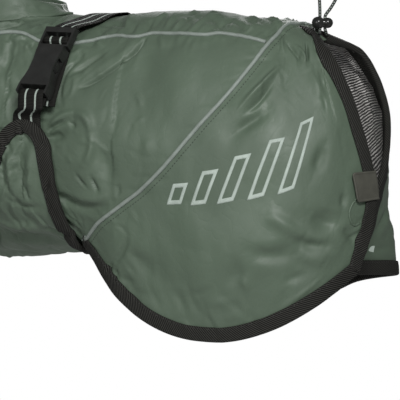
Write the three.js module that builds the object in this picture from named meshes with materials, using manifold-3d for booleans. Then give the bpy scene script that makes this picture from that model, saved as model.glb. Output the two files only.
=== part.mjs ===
// Winter coat for a small dog, in the hollow form it keeps when it is worn. Millimetres.
//
// +X runs from the head to the tail, +Z is up and the wearer's left side is at -Y.
// The origin is under the back panel at the withers, where the coat rests on the wearer.
//
// The cloth is drawn in its own coordinates. "station" runs along the coat from the middle of
// the chest to the tail, "girth" runs down from the spine to the middle of the belly, and both
// are close to millimetres on the cloth. Every panel, seam, binding and strap is placed in them.

import * as THREE from 'three';
import { mergeVertices } from 'three/addons/utils/BufferGeometryUtils.js';
import Module from 'manifold-3d';

const wasm = await Module();
wasm.setup();

// ---------------------------------------------------------------- driving dimensions

const CLOTH_WALL = 2.0;         // shell cloth with its thin wadding
const LINING_WALL = 1.0;
const SEAM_GAP = 0.3;           // between pieces that are sewn together
const PIPING_WIDTH = 3.6;
const PIPING_RISE = 1.9;
const BINDING_REACH = 11.0;     // how far the edge binding reaches over each face
const BINDING_CLOTH = 1.0;
const BINDING_CLEAR = 0.8;
const TAB_LIFT = 5.4;           // the belly panel's tabs lie this far over the side panels
const WEBBING_WIDTH = 25;
const WEBBING_THICK = 1.3;
const CORD_DIAMETER = 2.8;

const COLOURS = {
  shell: 0x5d6b5e, lining: 0x6d6c6a, binding: 0x232122, piping: 0xa9afa9, webbing: 0x1d1c1d,
  plastic: 0x191919, rubber: 0x6f6a65, cord: 0x3a3a3a,
};

// ---------------------------------------------------------------- the cloth's form

// Girth levels: millimetres down the cloth from the spine.
const GIRTH = { spine: 0, shoulder: 65, widest: 145, flank: 205, hem: 265, bilge: 315, belly: 365 };
const LEVELS = Object.keys(GIRTH);
const GIRTHS = Object.values(GIRTH);

// One row for each rib: its station, then x, distance out from the middle plane and z at each
// girth level. Ahead of the withers the "spine" level is the neck seam. Ribs behind the belly
// panel end at the hem.
const RIBS = [
  { rib: 'front', station: -178, spine: [-128, 0, -30], shoulder: [-136, 0, -48], widest: [-143, 0, -95],
    flank: [-139, 0, -143], hem: [-122, 0, -180], bilge: [-104, 0, -200], belly: [-88, 0, -209] },
  { rib: 'chest', station: -125, spine: [-113, 38, -20], shoulder: [-121, 49, -34], widest: [-125, 55, -92],
    flank: [-120, 53, -136], hem: [-107, 38, -168], bilge: [-96, 20, -194], belly: [-82, 0, -210] },
  { rib: 'arm', station: -76, spine: [-72, 55, -8], shoulder: [-74, 67, -20], widest: [-77, 82, -92],
    flank: [-78, 82, -128], hem: [-78, 76, -150], bilge: [-75, 40, -198], belly: [-70, 0, -211] },
  { rib: 'elbow', station: -45, spine: [-38, 46, -4], shoulder: [-43, 65, -15], widest: [-46, 91, -92],
    flank: [-47, 91, -130], hem: [-48, 82, -162], bilge: [-48, 48, -198], belly: [-48, 0, -211] },
  { rib: 'nape', station: -22, spine: [-14, 24, -1], shoulder: [-23, 64, -17], widest: [-26, 94, -92],
    flank: [-27, 94, -130], hem: [-27, 85, -165], bilge: [-27, 50, -198], belly: [-27, 0, -209] },
  { rib: 'withers', station: -2, spine: [-5, 0, 2], shoulder: [-6, 63, -23], widest: [-7, 95, -92],
    flank: [-7, 95, -130], hem: [-7, 85, -168], bilge: [-7, 50, -198], belly: [-7, 0, -206] },
  { rib: 'girth', station: 35, spine: [35, 0, 0], shoulder: [35, 61, -25], widest: [35, 98, -95],
    flank: [35, 96, -145], hem: [35, 76, -190], bilge: [35, 46, -201], belly: [35, 0, -205] },
  { rib: 'loin', station: 80, spine: [78, 0, 3], shoulder: [79, 60, -20], widest: [80, 100, -98],
    flank: [80, 100, -168], hem: [80, 93, -238], bilge: [80, 48, -212], belly: [80, 0, -210] },
  { rib: 'croup', station: 130, spine: [127, 0, 3], shoulder: [129, 60, -19], widest: [130, 101, -102],
    flank: [130, 103, -185], hem: [128, 98, -266] },
  { rib: 'haunch', station: 176, spine: [172, 0, -3], shoulder: [177, 58, -20], widest: [179, 99, -105],
    flank: [177, 103, -190], hem: [172, 97, -271.5] },
  { rib: 'rump', station: 222, spine: [204, 0, -6], shoulder: [212, 50, -24], widest: [225, 88, -105],
    flank: [227, 94, -185], hem: [216, 91, -261.5] },
  { rib: 'turn', station: 266, spine: [219, 3, -10], shoulder: [237, 44, -29], widest: [259, 66, -95],
    flank: [268, 68, -170], hem: [255, 74, -238.5] },
  { rib: 'tail', station: 302, spine: [232, 10, -21], shoulder: [250, 38, -34], widest: [275, 42, -85],
    flank: [289, 34, -155], hem: [279, 48, -215.5] },
];

// The right flap hangs a little higher and curls in behind the thigh, so its ribs differ.
const RIGHT_RIBS = {
  loin: { hem: [80, 93, -234] },
  croup: { hem: [128, 98, -260] },
  haunch: { hem: [172, 98, -262] },
  rump: { spine: [204, 0, -6], shoulder: [212, 51, -24], widest: [227, 90, -105], flank: [238, 97, -185],
    hem: [234, 95, -237] },
  turn: { spine: [219, 3, -10], shoulder: [239, 47, -30], widest: [263, 71, -95], flank: [273, 68, -165],
    hem: [277, 70, -227] },
  tail: { spine: [232, 10, -21], shoulder: [255, 45, -34], widest: [278, 46, -98], flank: [272, 29, -155],
    hem: [252, 4, -222] },
};

// The largest folds: soft ridges (rise above 0) and troughs between two points of the cloth.
const FOLDS = [
  { fold: 'ridge beside the thigh seam', side: 0, from: [217, 95], to: [187, 124], width: 9, rise: 2.2 },
  { fold: 'trough beside the thigh seam', side: 0, from: [208, 124], to: [183, 143], width: 8, rise: -2.0 },
  { fold: 'pull under the buckle', side: -1, from: [84, 80], to: [48, 108], width: 7, rise: -2.2 },
  { fold: 'pull on the right', side: 1, from: [70, 76], to: [40, 112], width: 8, rise: -2.0 },
  { fold: 'bulge behind the tab', side: 0, from: [52, 142], to: [50, 172], width: 16, rise: 3.0 },
  { fold: 'sag of the thigh', side: 0, from: [120, 232], to: [92, 250], width: 12, rise: -2.2 },
  { fold: 'swell over the thigh', side: 0, from: [205, 205], to: [165, 215], width: 22, rise: 2.6 },
  { fold: 'hollow at the rear hem', side: 0, from: [262, 205], to: [245, 228], width: 13, rise: -2.4 },
];

// ---------------------------------------------------------------- seams and edges on the cloth

// The piped seam along the back, from the chest seam to the thigh seam.
const BACK_SEAM = [
  { station: -125, girth: 65 }, { station: -47, girth: 65 }, { station: -25, girth: 63 },
  { station: -2, girth: 66 }, { station: 20, girth: 68 }, { station: 39, girth: 64 },
  { station: 60, girth: 60 }, { station: 84, girth: 65 }, { station: 100, girth: 61 },
  { station: 144, girth: 66 }, { station: 162, girth: 63 }, { station: 206, girth: 70 },
];
const BACK_SEAM_END = 70;

// The piped seam that runs from the spine, before the tail, down to the front of the thigh.
const THIGH_SEAM = [
  { girth: 0, station: 252 }, { girth: 20, station: 242 }, { girth: 35, station: 227 },
  { girth: 60, station: 214 }, { girth: 80, station: 202 }, { girth: 105, station: 185 },
  { girth: 137, station: 156 }, { girth: 161, station: 133 }, { girth: 180, station: 110 },
  { girth: 197, station: 88 }, { girth: 218, station: 67 }, { girth: 240, station: 52 },
  { girth: 265, station: 40 },
];

// The belly panel's free edge: from the chest seam round the leg opening, up the front of the
// tab to its tip, and down its back to the middle of the belly.
const TAB_FRONT = [
  { station: -125, girth: 268 }, { station: -100, girth: 305 }, { station: -76, girth: 316 },
  { station: -60, girth: 308 }, { station: -50, girth: 280 }, { station: -43, girth: 245 },
  { station: -35, girth: 205 }, { station: -24, girth: 169 }, { station: -14, girth: 153 },
  { station: -4, girth: 146 }, { station: 4, girth: 144 },
];
const TAB_BACK = [
  { station: 4, girth: 144 }, { station: 11, girth: 148 }, { station: 19, girth: 160 },
  { station: 24, girth: 184 }, { station: 27, girth: 217 }, { station: 30, girth: 242 },
  { station: 36, girth: 266 }, { station: 40, girth: 310 }, { station: 38, girth: 365 },
];

const FRONT_STATION = -178;
const CHEST_STATION = -125;
const PANEL_START = CHEST_STATION + 0.7;
const WITHERS_STATION = -2;
const TAIL_STATION = 302;

// The collar's free edge at stations along the neck seam.
const COLLAR_EDGE = [
  { station: -178, x: -123, out: 0, z: 8 }, { station: -150, x: -118, out: 24, z: 11 },
  { station: -125, x: -105, out: 38, z: 16 }, { station: -76, x: -68, out: 48, z: 22 },
  { station: -45, x: -38, out: 41, z: 16 }, { station: -22, x: -25, out: 26, z: 12 },
  { station: -2, x: -18, out: 0, z: 10 },
];

// ---------------------------------------------------------------- interpolation

function slopes(knots, values) {
  const last = knots.length - 1;
  return values.map((value, i) => {
    if (i === 0) return (values[1] - value) / (knots[1] - knots[0]);
    if (i === last) return (value - values[last - 1]) / (knots[last] - knots[last - 1]);
    const before = knots[i] - knots[i - 1];
    const after = knots[i + 1] - knots[i];
    const slopeBefore = (value - values[i - 1]) / before;
    const slopeAfter = (values[i + 1] - value) / after;
    if (slopeBefore * slopeAfter <= 0) return 0;
    return (slopeAfter * before + slopeBefore * after) / (before + after);
  });
}

function hermite(knots, values, tangents, at) {
  let i = 0;
  while (i < knots.length - 2 && at > knots[i + 1]) i += 1;
  const span = knots[i + 1] - knots[i];
  const s = (at - knots[i]) / span;
  const rise = s * s * (3 - 2 * s);
  return (1 - rise) * values[i] + rise * values[i + 1]
    + s * (1 - s) * (1 - s) * span * tangents[i] - s * s * (1 - s) * span * tangents[i + 1];
}

function curveOf(rows, keyColumn, valueColumn) {
  const knots = rows.map((row) => row[keyColumn]);
  const values = rows.map((row) => row[valueColumn]);
  const tangents = slopes(knots, values);
  const last = knots[knots.length - 1];
  return (at) => hermite(knots, values, tangents, THREE.MathUtils.clamp(at, knots[0], last));
}

// A line through rows of station and girth, from 0 at its first row to 1 at its last.
function lineOf(rows) {
  const lengths = [0];
  for (let i = 1; i < rows.length; i += 1) {
    const step = Math.hypot(rows[i].station - rows[i - 1].station, rows[i].girth - rows[i - 1].girth);
    lengths.push(lengths[i - 1] + step);
  }
  const total = lengths[lengths.length - 1];
  const along = rows.map((row, i) => ({ at: lengths[i] / total, ...row }));
  const station = curveOf(along, 'at', 'station');
  const girth = curveOf(along, 'at', 'girth');
  return (at) => [station(at), girth(at)];
}

function smooth(from, to, at) {
  const s = THREE.MathUtils.clamp((at - from) / (to - from), 0, 1);
  return s * s * (3 - 2 * s);
}

function steps(count) {
  return Array.from({ length: count + 1 }, (_, i) => i / count);
}

// ---------------------------------------------------------------- points of the cloth

function ribTable(side) {
  return RIBS.map((row) => {
    const own = side > 0 && RIGHT_RIBS[row.rib] ? { ...row, ...RIGHT_RIBS[row.rib] } : row;
    const hem = own.hem;
    return LEVELS.map((level) => own[level] ?? [hem[0], hem[1] / 2, hem[2]]);
  });
}

const STATIONS = RIBS.map((row) => row.station);

function ribCurves(side) {
  const table = ribTable(side);
  return LEVELS.map((_, level) => [0, 1, 2].map((axis) => {
    const values = table.map((rib) => rib[level][axis]);
    const tangents = slopes(STATIONS, values);
    return (station) => hermite(STATIONS, values, tangents, station);
  }));
}

const CURVES = { '-1': ribCurves(-1), 1: ribCurves(1) };
const CROWN = 1.35;             // how flat the back is where it crosses the spine
const CENTRE_REACH = 3;         // a rib that starts within this of the middle crosses it level
const FREE_HEM = { from: 30, to: 75 };  // stations over which the hem comes to hang free

function formPoint(station, girth, side) {
  const rib = CURVES[side].map((axes) => axes.map((axis) => axis(station)));
  const onCentre = Math.max(0, 1 - Math.abs(rib[0][1]) / CENTRE_REACH);
  const hanging = smooth(FREE_HEM.from, FREE_HEM.to, station);
  const hem = LEVELS.indexOf('hem');
  const last = LEVELS.length - 1;
  const point = [0, 1, 2].map((axis) => {
    const values = rib.map((level) => level[axis]);
    const tangents = slopes(GIRTHS, values);
    const level = axis === 1 ? CROWN * (values[1] - values[0]) / (GIRTHS[1] - GIRTHS[0]) : 0;
    const straight = (values[hem] - values[hem - 1]) / (GIRTHS[hem] - GIRTHS[hem - 1]);
    tangents[0] = tangents[0] * (1 - onCentre) + level * onCentre;
    tangents[hem] = tangents[hem] * (1 - hanging) + straight * hanging;
    tangents[last] = axis === 1 ? (values[last] - values[last - 1]) / (GIRTHS[last] - GIRTHS[last - 1]) : 0;
    return hermite(GIRTHS, values, tangents, girth);
  });
  return new THREE.Vector3(point[0], side * point[1], point[2]);
}

function formNormal(station, girth, side) {
  const step = 1;
  const s0 = Math.max(station - step, FRONT_STATION);
  const s1 = Math.min(station + step, TAIL_STATION);
  const g0 = Math.max(girth - step, 0);
  const g1 = Math.min(girth + step, GIRTH.belly);
  const along = formPoint(s1, girth, side).sub(formPoint(s0, girth, side));
  const down = formPoint(station, g1, side).sub(formPoint(station, g0, side));
  return along.cross(down).multiplyScalar(side).normalize();
}

function foldRise(station, girth, side) {
  let rise = 0;
  for (const fold of FOLDS) {
    if (fold.side !== 0 && fold.side !== side) continue;
    const [s0, g0] = fold.from;
    const [s1, g1] = fold.to;
    const along = [s1 - s0, g1 - g0];
    const length = Math.hypot(...along);
    const t = ((station - s0) * along[0] + (girth - g0) * along[1]) / (length * length);
    const nearest = THREE.MathUtils.clamp(t, 0, 1);
    const away = Math.hypot(station - s0 - nearest * along[0], girth - g0 - nearest * along[1]);
    rise += fold.rise * Math.exp(-((away / fold.width) ** 2));
  }
  return rise;
}

// A point on the outer face of the shell, with the direction that faces out of the coat there.
function cloth(station, girth, side, lift = 0) {
  const normal = formNormal(station, girth, side);
  const point = formPoint(station, girth, side);
  // On the middle plane both halves face the same way.
  if (Math.abs(point.y) < 0.01) normal.setY(0).normalize();
  point.addScaledVector(normal, foldRise(station, girth, side) + lift);
  return { point, normal };
}

function between(a, b, share) {
  return {
    point: a.point.clone().lerp(b.point, share),
    normal: a.normal.clone().lerp(b.normal, share).normalize(),
  };
}

function raised(spot, height) {
  return spot.point.clone().addScaledVector(spot.normal, height);
}

// ---------------------------------------------------------------- meshes

function geometryOf(points, triangles) {
  const geometry = new THREE.BufferGeometry();
  const numbers = points.flatMap((point) => point.toArray());
  geometry.setAttribute('position', new THREE.Float32BufferAttribute(numbers, 3));
  let volume = 0;
  for (const [a, b, c] of triangles) {
    volume += points[a].dot(new THREE.Vector3().crossVectors(points[b], points[c]));
  }
  const facing = volume < 0 ? triangles.map(([a, b, c]) => [a, c, b]) : triangles;
  geometry.setIndex(facing.flat());
  geometry.computeVertexNormals();
  return geometry;
}

// A closed wall on one or more grids of spots, which are joined where their points meet. A grid
// that a binding goes round has each of its corners on a diagonal, as the binding has.
function wall(grids, outer, inner, bound = true) {
  const spots = [];
  const places = new Map();
  const indexOf = (spot) => {
    const key = ['x', 'y', 'z'].map((axis) => Math.round(spot.point[axis] * 50)).join('_');
    if (!places.has(key)) {
      places.set(key, spots.length);
      spots.push({ point: spot.point.clone(), normal: new THREE.Vector3() });
    }
    spots[places.get(key)].normal.add(spot.normal);
    return places.get(key);
  };
  const faces = [];
  for (const grid of grids) {
    const ids = grid.map((row) => row.map(indexOf));
    const [endRow, endColumn] = [ids.length - 2, ids[0].length - 2];
    for (let r = 0; r <= endRow; r += 1) {
      for (let c = 0; c <= endColumn; c += 1) {
        const [a, b, d, e] = [ids[r][c], ids[r][c + 1], ids[r + 1][c + 1], ids[r + 1][c]];
        const atCorner = bound && ((r === 0 && c === 0) || (r === endRow && c === endColumn));
        faces.push(...(atCorner ? [[a, b, d], [a, d, e]] : [[a, b, e], [b, d, e]]));
      }
    }
  }
  spots.forEach((spot) => spot.normal.normalize());
  for (const face of faces) {
    const [p, q, r] = face.map((id) => spots[id].point);
    const facing = new THREE.Vector3().crossVectors(q.clone().sub(p), r.clone().sub(p));
    if (facing.dot(spots[face[0]].normal) < 0) face.reverse();
  }
  const count = spots.length;
  const points = [...spots.map((spot) => raised(spot, outer)), ...spots.map((spot) => raised(spot, inner))];
  const triangles = [...faces, ...faces.map(([a, b, c]) => [a + count, c + count, b + count])];
  const edges = new Set(faces.flatMap(([a, b, c]) => [`${a}_${b}`, `${b}_${c}`, `${c}_${a}`]));
  for (const edge of edges) {
    const [a, b] = edge.split('_').map(Number);
    if (!edges.has(`${b}_${a}`)) triangles.push([b, a, a + count], [b, a + count, b + count]);
  }
  return geometryOf(points, triangles);
}

// A closed solid through sections with the same number of corners. The outline gives the
// section's flat shape, for its two end faces. Each face between two sections is split from its
// corner with the smaller outline x on the first of them, or on the second where edgeFirst is false.
function loft(sections, outline, edgeFirst = () => true) {
  const corners = outline.length;
  const points = sections.flat();
  const triangles = [];
  for (let s = 0; s + 1 < sections.length; s += 1) {
    for (let c = 0; c < corners; c += 1) {
      const next = (c + 1) % corners;
      const [here, ahead] = [s * corners, (s + 1) * corners];
      const [a, b, d, e] = [here + c, here + next, ahead + next, ahead + c];
      const fromFirst = (outline[c][0] <= outline[next][0]) === edgeFirst(s);
      triangles.push(...(fromFirst ? [[a, b, d], [a, d, e]] : [[a, b, e], [b, d, e]]));
    }
  }
  const flat = outline.map(([x, y]) => new THREE.Vector2(x, y));
  const turned = THREE.ShapeUtils.area(flat) > 0;
  const far = (sections.length - 1) * corners;
  for (const [a, b, c] of THREE.ShapeUtils.triangulateShape(flat, [])) {
    const cap = turned ? [a, c, b] : [a, b, c];
    triangles.push(cap, cap.map((id) => id + far).reverse());
  }
  return geometryOf(points, triangles);
}

const group = new THREE.Group();

function add(name, geometry, colour, roughness = 0.6) {
  const material = new THREE.MeshStandardMaterial({ color: COLOURS[colour], roughness, metalness: 0 });
  const mesh = new THREE.Mesh(geometry, material);
  mesh.name = name;
  group.add(mesh);
  return mesh;
}

// ---------------------------------------------------------------- panels

// A grid on the cloth between four edge lines, each a function of 0 to 1.
function panelPlan({ top, bottom, front, back }, across, down) {
  const corners = [top(0), top(1), bottom(0), bottom(1)];
  return down.map((t) => across.map((c) => [0, 1].map((axis) => {
    const sides = (1 - c) * front(t)[axis] + c * back(t)[axis];
    const ends = (1 - t) * top(c)[axis] + t * bottom(c)[axis];
    const corner = (1 - t) * ((1 - c) * corners[0][axis] + c * corners[1][axis])
      + t * ((1 - c) * corners[2][axis] + c * corners[3][axis]);
    return sides + ends - corner;
  })));
}

function spotsOf(plan, side, lift = () => 0) {
  return plan.map((row) => row.map(([station, girth]) => cloth(station, girth, side, lift(station, girth))));
}

const BORDER = BINDING_REACH + 1.2;     // from an edge to the line next to it

// Moves the line next to an edge so that it runs where the binding ends.
function drawBorder(plan, side, pick, count) {
  for (let k = 0; k < count; k += 1) {
    const [edge, next, beyond] = [0, 1, 2].map((inward) => pick(inward, k));
    const a = formPoint(...edge, side);
    const b = formPoint(...beyond, side);
    const share = Math.min(0.9, BORDER / a.distanceTo(b));
    next[0] = edge[0] + (beyond[0] - edge[0]) * share;
    next[1] = edge[1] + (beyond[1] - edge[1]) * share;
  }
}

const backSeamGirth = curveOf(BACK_SEAM, 'station', 'girth');
const thighSeamStation = curveOf(THIGH_SEAM, 'girth', 'station');
const SEAM_INSET = SEAM_GAP / 2 + 0.05;
const THIGH_INSET = 0.5;        // the stations lie closer together near the tail

// Stations along the back seam, shared by the back panel, the side panels and the piping.
const BACK_COLUMNS = [PANEL_START, -108, -90, -73, -58, -45, -33, -22, -12, -2, 13, 28, 44, 60, 77, 94, 112, 130,
  150, 170, 188, 206];
const MEETING_STATION = 206;    // where the back seam meets the thigh seam
const BACK_ROWS = steps(4);
const SIDE_ROWS = steps(8);

function seamInset(station) {
  return THIGH_INSET * smooth(150, MEETING_STATION, station);
}

// Ahead of the withers the columns keep their stations, so that the neck seam is followed.
function backPlan() {
  return BACK_ROWS.map((t) => BACK_COLUMNS.map((station) => {
    const stretch = smooth(WITHERS_STATION, MEETING_STATION, station);
    const reach = thighSeamStation(t * BACK_SEAM_END) - MEETING_STATION;
    const girth = t * (backSeamGirth(station) - SEAM_INSET);
    return [station + reach * stretch - seamInset(station), girth];
  }));
}

function sidePlan(side) {
  const columns = steps(BACK_COLUMNS.length - 1);
  const stationAt = (c) => BACK_COLUMNS[Math.round(c * (BACK_COLUMNS.length - 1))];
  const top = (c) => {
    const station = stationAt(c);
    return [station - seamInset(station), backSeamGirth(station) + SEAM_INSET];
  };
  const corner = thighSeamStation(GIRTH.hem) - THIGH_INSET;
  const bottom = (c) => [PANEL_START + (corner - PANEL_START) * c, GIRTH.hem];
  const upper = backSeamGirth(PANEL_START) + SEAM_INSET;
  const front = (t) => [PANEL_START, upper + t * (GIRTH.hem - upper)];
  const back = (t) => {
    const girth = BACK_SEAM_END + t * (GIRTH.hem - BACK_SEAM_END);
    return [thighSeamStation(girth) - THIGH_INSET, t === 0 ? girth + SEAM_INSET : girth];
  };
  const plan = panelPlan({ top, bottom, front, back }, columns, SIDE_ROWS);
  drawBorder(plan, side, (inward, k) => plan[plan.length - 1 - inward][k], columns.length);
  return plan;
}

const HIND_GIRTHS = [
  ...BACK_ROWS.map((t) => t * BACK_SEAM_END),
  ...SIDE_ROWS.slice(1).map((t) => BACK_SEAM_END + t * (GIRTH.hem - BACK_SEAM_END)),
];

function hindPlan(side) {
  const columns = steps(11);
  const plan = HIND_GIRTHS.map((girth) => {
    const start = thighSeamStation(girth) + THIGH_INSET;
    return columns.map((c) => [start + (TAIL_STATION - start) * c, girth]);
  });
  const rows = plan.length;
  const last = columns.length - 1;
  drawBorder(plan, side, (inward, k) => plan[rows - 1 - inward][k], columns.length);
  drawBorder(plan, side, (inward, k) => plan[k][last - inward], rows);
  return plan;
}

// The belly panel in two grids: the breast, ahead of the chest seam, and the belly with its tab.
const tabFront = lineOf(TAB_FRONT);
const tabBack = lineOf(TAB_BACK);
const TAB_COLUMNS = [0, 0.1, 0.2, 0.3, 0.4, 0.5, 0.6, 0.7, 0.78, 0.86, 0.93, 1];
const TAB_ROWS = steps(9);
const BREAST_STATIONS = [-178, -165, -152, -139, CHEST_STATION];
const BREAST_GIRTHS = [0, 34, 68, 102, 136, 170, 204, 236];

function bellyPlan(side) {
  const bottom = (c) => [CHEST_STATION + (tabBack(1)[0] - CHEST_STATION) * c, GIRTH.belly];
  const front = (t) => [CHEST_STATION, tabFront(0)[1] + (GIRTH.belly - tabFront(0)[1]) * t];
  const plan = panelPlan({ top: tabFront, bottom, front, back: tabBack }, TAB_COLUMNS, TAB_ROWS);
  const last = TAB_COLUMNS.length - 1;
  drawBorder(plan, side, (inward, k) => plan[inward][k], TAB_COLUMNS.length);
  drawBorder(plan, side, (inward, k) => plan[k][last - inward], TAB_ROWS.length);
  return plan;
}

function breastPlan(belly) {
  const girths = [...BREAST_GIRTHS, ...belly.map((row) => row[0][1])];
  return girths.map((girth) => BREAST_STATIONS.map((station) => [station, girth]));
}

function tabLift(station) {
  return TAB_LIFT * smooth(-112, -54, station);
}

// ---------------------------------------------------------------- edges, piping and webbing

// A folded strip round an edge, as its section: how far inward from the edge, and how high.
const BINDING_TURN = BINDING_CLEAR + BINDING_CLOTH;
const BINDING_SECTION = foldedSection(BINDING_REACH, BINDING_REACH, BINDING_CLEAR, BINDING_CLOTH);

function foldedSection(outerReach, innerReach, clear, thick) {
  const low = -CLOTH_WALL;
  return [
    [outerReach, clear + thick], [-clear, clear + thick], [-clear - thick, 0], [-clear - thick, low],
    [-clear, low - clear - thick], [innerReach, low - clear - thick], [innerReach, low - clear],
    [-clear, low - clear], [-clear, clear], [outerReach, clear],
  ];
}

// Each stop has the spot on the edge and the one on the border line, so that the strip lies on
// the panel's own facets.
function folded(stops, section, edgeFirst) {
  const sections = stops.map(({ edge, inner }) => section.map(([inward, height]) => {
    const share = inward / BORDER;
    const point = edge.point.clone().lerp(inner.point, share);
    const normal = edge.normal.clone().lerp(inner.normal, THREE.MathUtils.clamp(share, 0, 1)).normalize();
    return point.addScaledVector(normal, height);
  }));
  return loft(sections, section, edgeFirst);
}

function stopBetween(a, b, share) {
  return { edge: between(a.edge, b.edge, share), inner: between(a.inner, b.inner, share) };
}

// A half-round bead over a seam.
const PIPING_SECTION = [
  [-PIPING_WIDTH / 2, 0.4], [PIPING_WIDTH / 2, 0.4], [0.4 * PIPING_WIDTH, 0.75 * PIPING_RISE],
  [0, PIPING_RISE + 0.2], [-0.4 * PIPING_WIDTH, 0.75 * PIPING_RISE],
];

function neighbours(list, k) {
  return [list[Math.max(k - 1, 0)], list[Math.min(k + 1, list.length - 1)]];
}

function bead(spots) {
  const sections = spots.map((spot, k) => {
    const [before, after] = neighbours(spots, k);
    const along = after.point.clone().sub(before.point);
    const across = spot.normal.clone().cross(along).normalize();
    return PIPING_SECTION.map(([x, y]) => raised(spot, y).addScaledVector(across, x));
  });
  return loft(sections, PIPING_SECTION);
}

// Webbing through rows of points, each from its front edge to its rear edge.
function webbing(rows) {
  const grid = rows.map((row, k) => {
    const [before, after] = neighbours(rows, k);
    const middle = (points) => points[0].clone().add(points[points.length - 1]).multiplyScalar(0.5);
    const along = middle(after).sub(middle(before));
    const across = row[row.length - 1].clone().sub(row[0]);
    const normal = new THREE.Vector3().crossVectors(across, along).normalize();
    return row.map((point) => ({ point, normal }));
  });
  return wall([grid], WEBBING_THICK / 2, -WEBBING_THICK / 2);
}

// ---------------------------------------------------------------- the cloth pieces

const SIDES = [{ side: -1, label: 'left' }, { side: 1, label: 'right' }];
const lastOf = (list) => list[list.length - 1];

// The spots of every panel on one side. Seams, edges and what lies on a panel are made from them.
function panelSpots(side) {
  const belly = bellyPlan(side);
  return {
    back: spotsOf(backPlan(), side),
    side: spotsOf(sidePlan(side), side),
    hind: spotsOf(hindPlan(side), side),
    belly: spotsOf(belly, side, tabLift),
    breast: spotsOf(breastPlan(belly), side, tabLift),
  };
}

const FORM = Object.fromEntries(SIDES.map(({ side, label }) => [label, panelSpots(side)]));

function panel(...grids) {
  return wall(grids, 0, -CLOTH_WALL);
}

const LINING_START = 0.35;      // from the panel's second row towards its third

// The lining that shows inside a hind panel, within its bindings.
function hindLining({ hind }) {
  const within = hind.slice(1, -1).map((row) => row.slice(1, -1));
  within[0] = within[0].map((spot, k) => between(spot, within[1][k], LINING_START));
  const outer = -CLOTH_WALL - SEAM_GAP;
  return wall([within], outer, outer - LINING_WALL, false);
}

// Stops from the spine round the tail notch, down the rear edge and along the hem to just behind
// the belly panel.
const NOTCH_COLUMN = 6;
const HEM_END = 0.12;           // how far the last stop is from the thigh seam to the next column

function hindBindingStops({ hind }) {
  const bottom = hind.length - 1;
  const rear = hind[0].length - 1;
  const downFrom = (edge, next) => ({
    edge, inner: between(edge, next, BORDER / edge.point.distanceTo(next.point)),
  });
  const notch = hind[0].slice(NOTCH_COLUMN, rear)
    .map((edge, k) => downFrom(edge, hind[1][NOTCH_COLUMN + k]));
  const top = { edge: hind[0][rear], inner: lastOf(notch).inner };
  const back = hind.slice(1, bottom).map((row) => ({ edge: row[rear], inner: row[rear - 1] }));
  const corner = { edge: hind[bottom][rear], inner: hind[bottom - 1][rear - 1] };
  const hem = hind[bottom].slice(0, rear).map((edge, k) => ({ edge, inner: hind[bottom - 1][k] })).reverse();
  hem.push(stopBetween(lastOf(hem), hem[hem.length - 2], HEM_END));
  hem.splice(-2, 1);
  const stops = [...notch, top, ...back, corner, ...hem];
  const rearStart = notch.length;
  const hemStart = rearStart + back.length + 1;
  return { stops, edgeFirst: (s) => s >= rearStart && s < hemStart };
}

function legBindingStops({ side }) {
  const low = side.length - 1;
  return side[low].map((edge, k) => ({ edge, inner: side[low - 1][k] })).slice(1, 9);
}

// Stops round the belly panel's leg opening, its tab and its rear edge, down to the middle.
function tabBindingStops({ belly }) {
  const tip = belly[0].length - 1;
  const deep = belly.length - 1;
  const front = belly[0].slice(1, tip).map((edge, k) => ({ edge, inner: belly[1][k + 1] }));
  const corner = { edge: belly[0][tip], inner: belly[1][tip - 1] };
  const back = belly.slice(1, deep).map((row) => ({ edge: row[tip], inner: row[tip - 1] }));
  const middle = { edge: belly[deep][tip], inner: belly[deep][tip - 1] };
  back.push(stopBetween(middle, lastOf(back), 0.04));
  const stops = [...front, corner, ...back];
  return { stops, edgeFirst: (s) => s >= front.length && s < stops.length - 2 };
}

function seamSpots(one, other) {
  return one.map((spot, k) => between(spot, other[k], 0.5));
}

// The thigh seam's spots, from just off the spine to the hem's binding.
function thighSpots({ back, side, hind }) {
  const before = [...back.slice(0, -1).map(lastOf), ...side.map(lastOf)];
  const spots = seamSpots(before, hind.map((row) => row[0]));
  spots[0] = between(spots[0], spots[1], 0.08);
  return spots.slice(0, -1);
}

function backSpots({ back, side }) {
  const spots = seamSpots(lastOf(back), side[0]);
  spots[spots.length - 1] = between(spots[spots.length - 2], lastOf(spots), 0.8);
  return spots;
}

// The standing collar, from the neck seam to its free edge.
const NECK_STATIONS = [-178, -165, -152, -139, -125, -108, -90, -73, -58, -45, -33, -22, -12, -2];
const COLLAR_START = 0.7;       // clear of the panels' edges
const collarEdge = Object.fromEntries(
  ['x', 'out', 'z'].map((axis) => [axis, curveOf(COLLAR_EDGE, 'station', axis)]),
);

function collarSpots(side) {
  const rows = steps(3);
  const points = rows.map((share) => NECK_STATIONS.map((station) => {
    const seam = cloth(station, 0, side).point;
    const out = side * collarEdge.out(station);
    const edge = new THREE.Vector3(collarEdge.x(station), out, collarEdge.z(station));
    const start = COLLAR_START / seam.distanceTo(edge);
    return seam.lerp(edge, start + (1 - start) * share);
  }));
  return points.map((row, r) => row.map((point, k) => {
    const [before, after] = neighbours(row, k);
    const [low, high] = neighbours(points.map((line) => line[k]), r);
    const normal = high.clone().sub(low).cross(after.clone().sub(before)).multiplyScalar(-side);
    if (Math.abs(point.y) < 0.01) normal.setY(0);
    return { point, normal: normal.normalize() };
  }));
}

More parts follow.
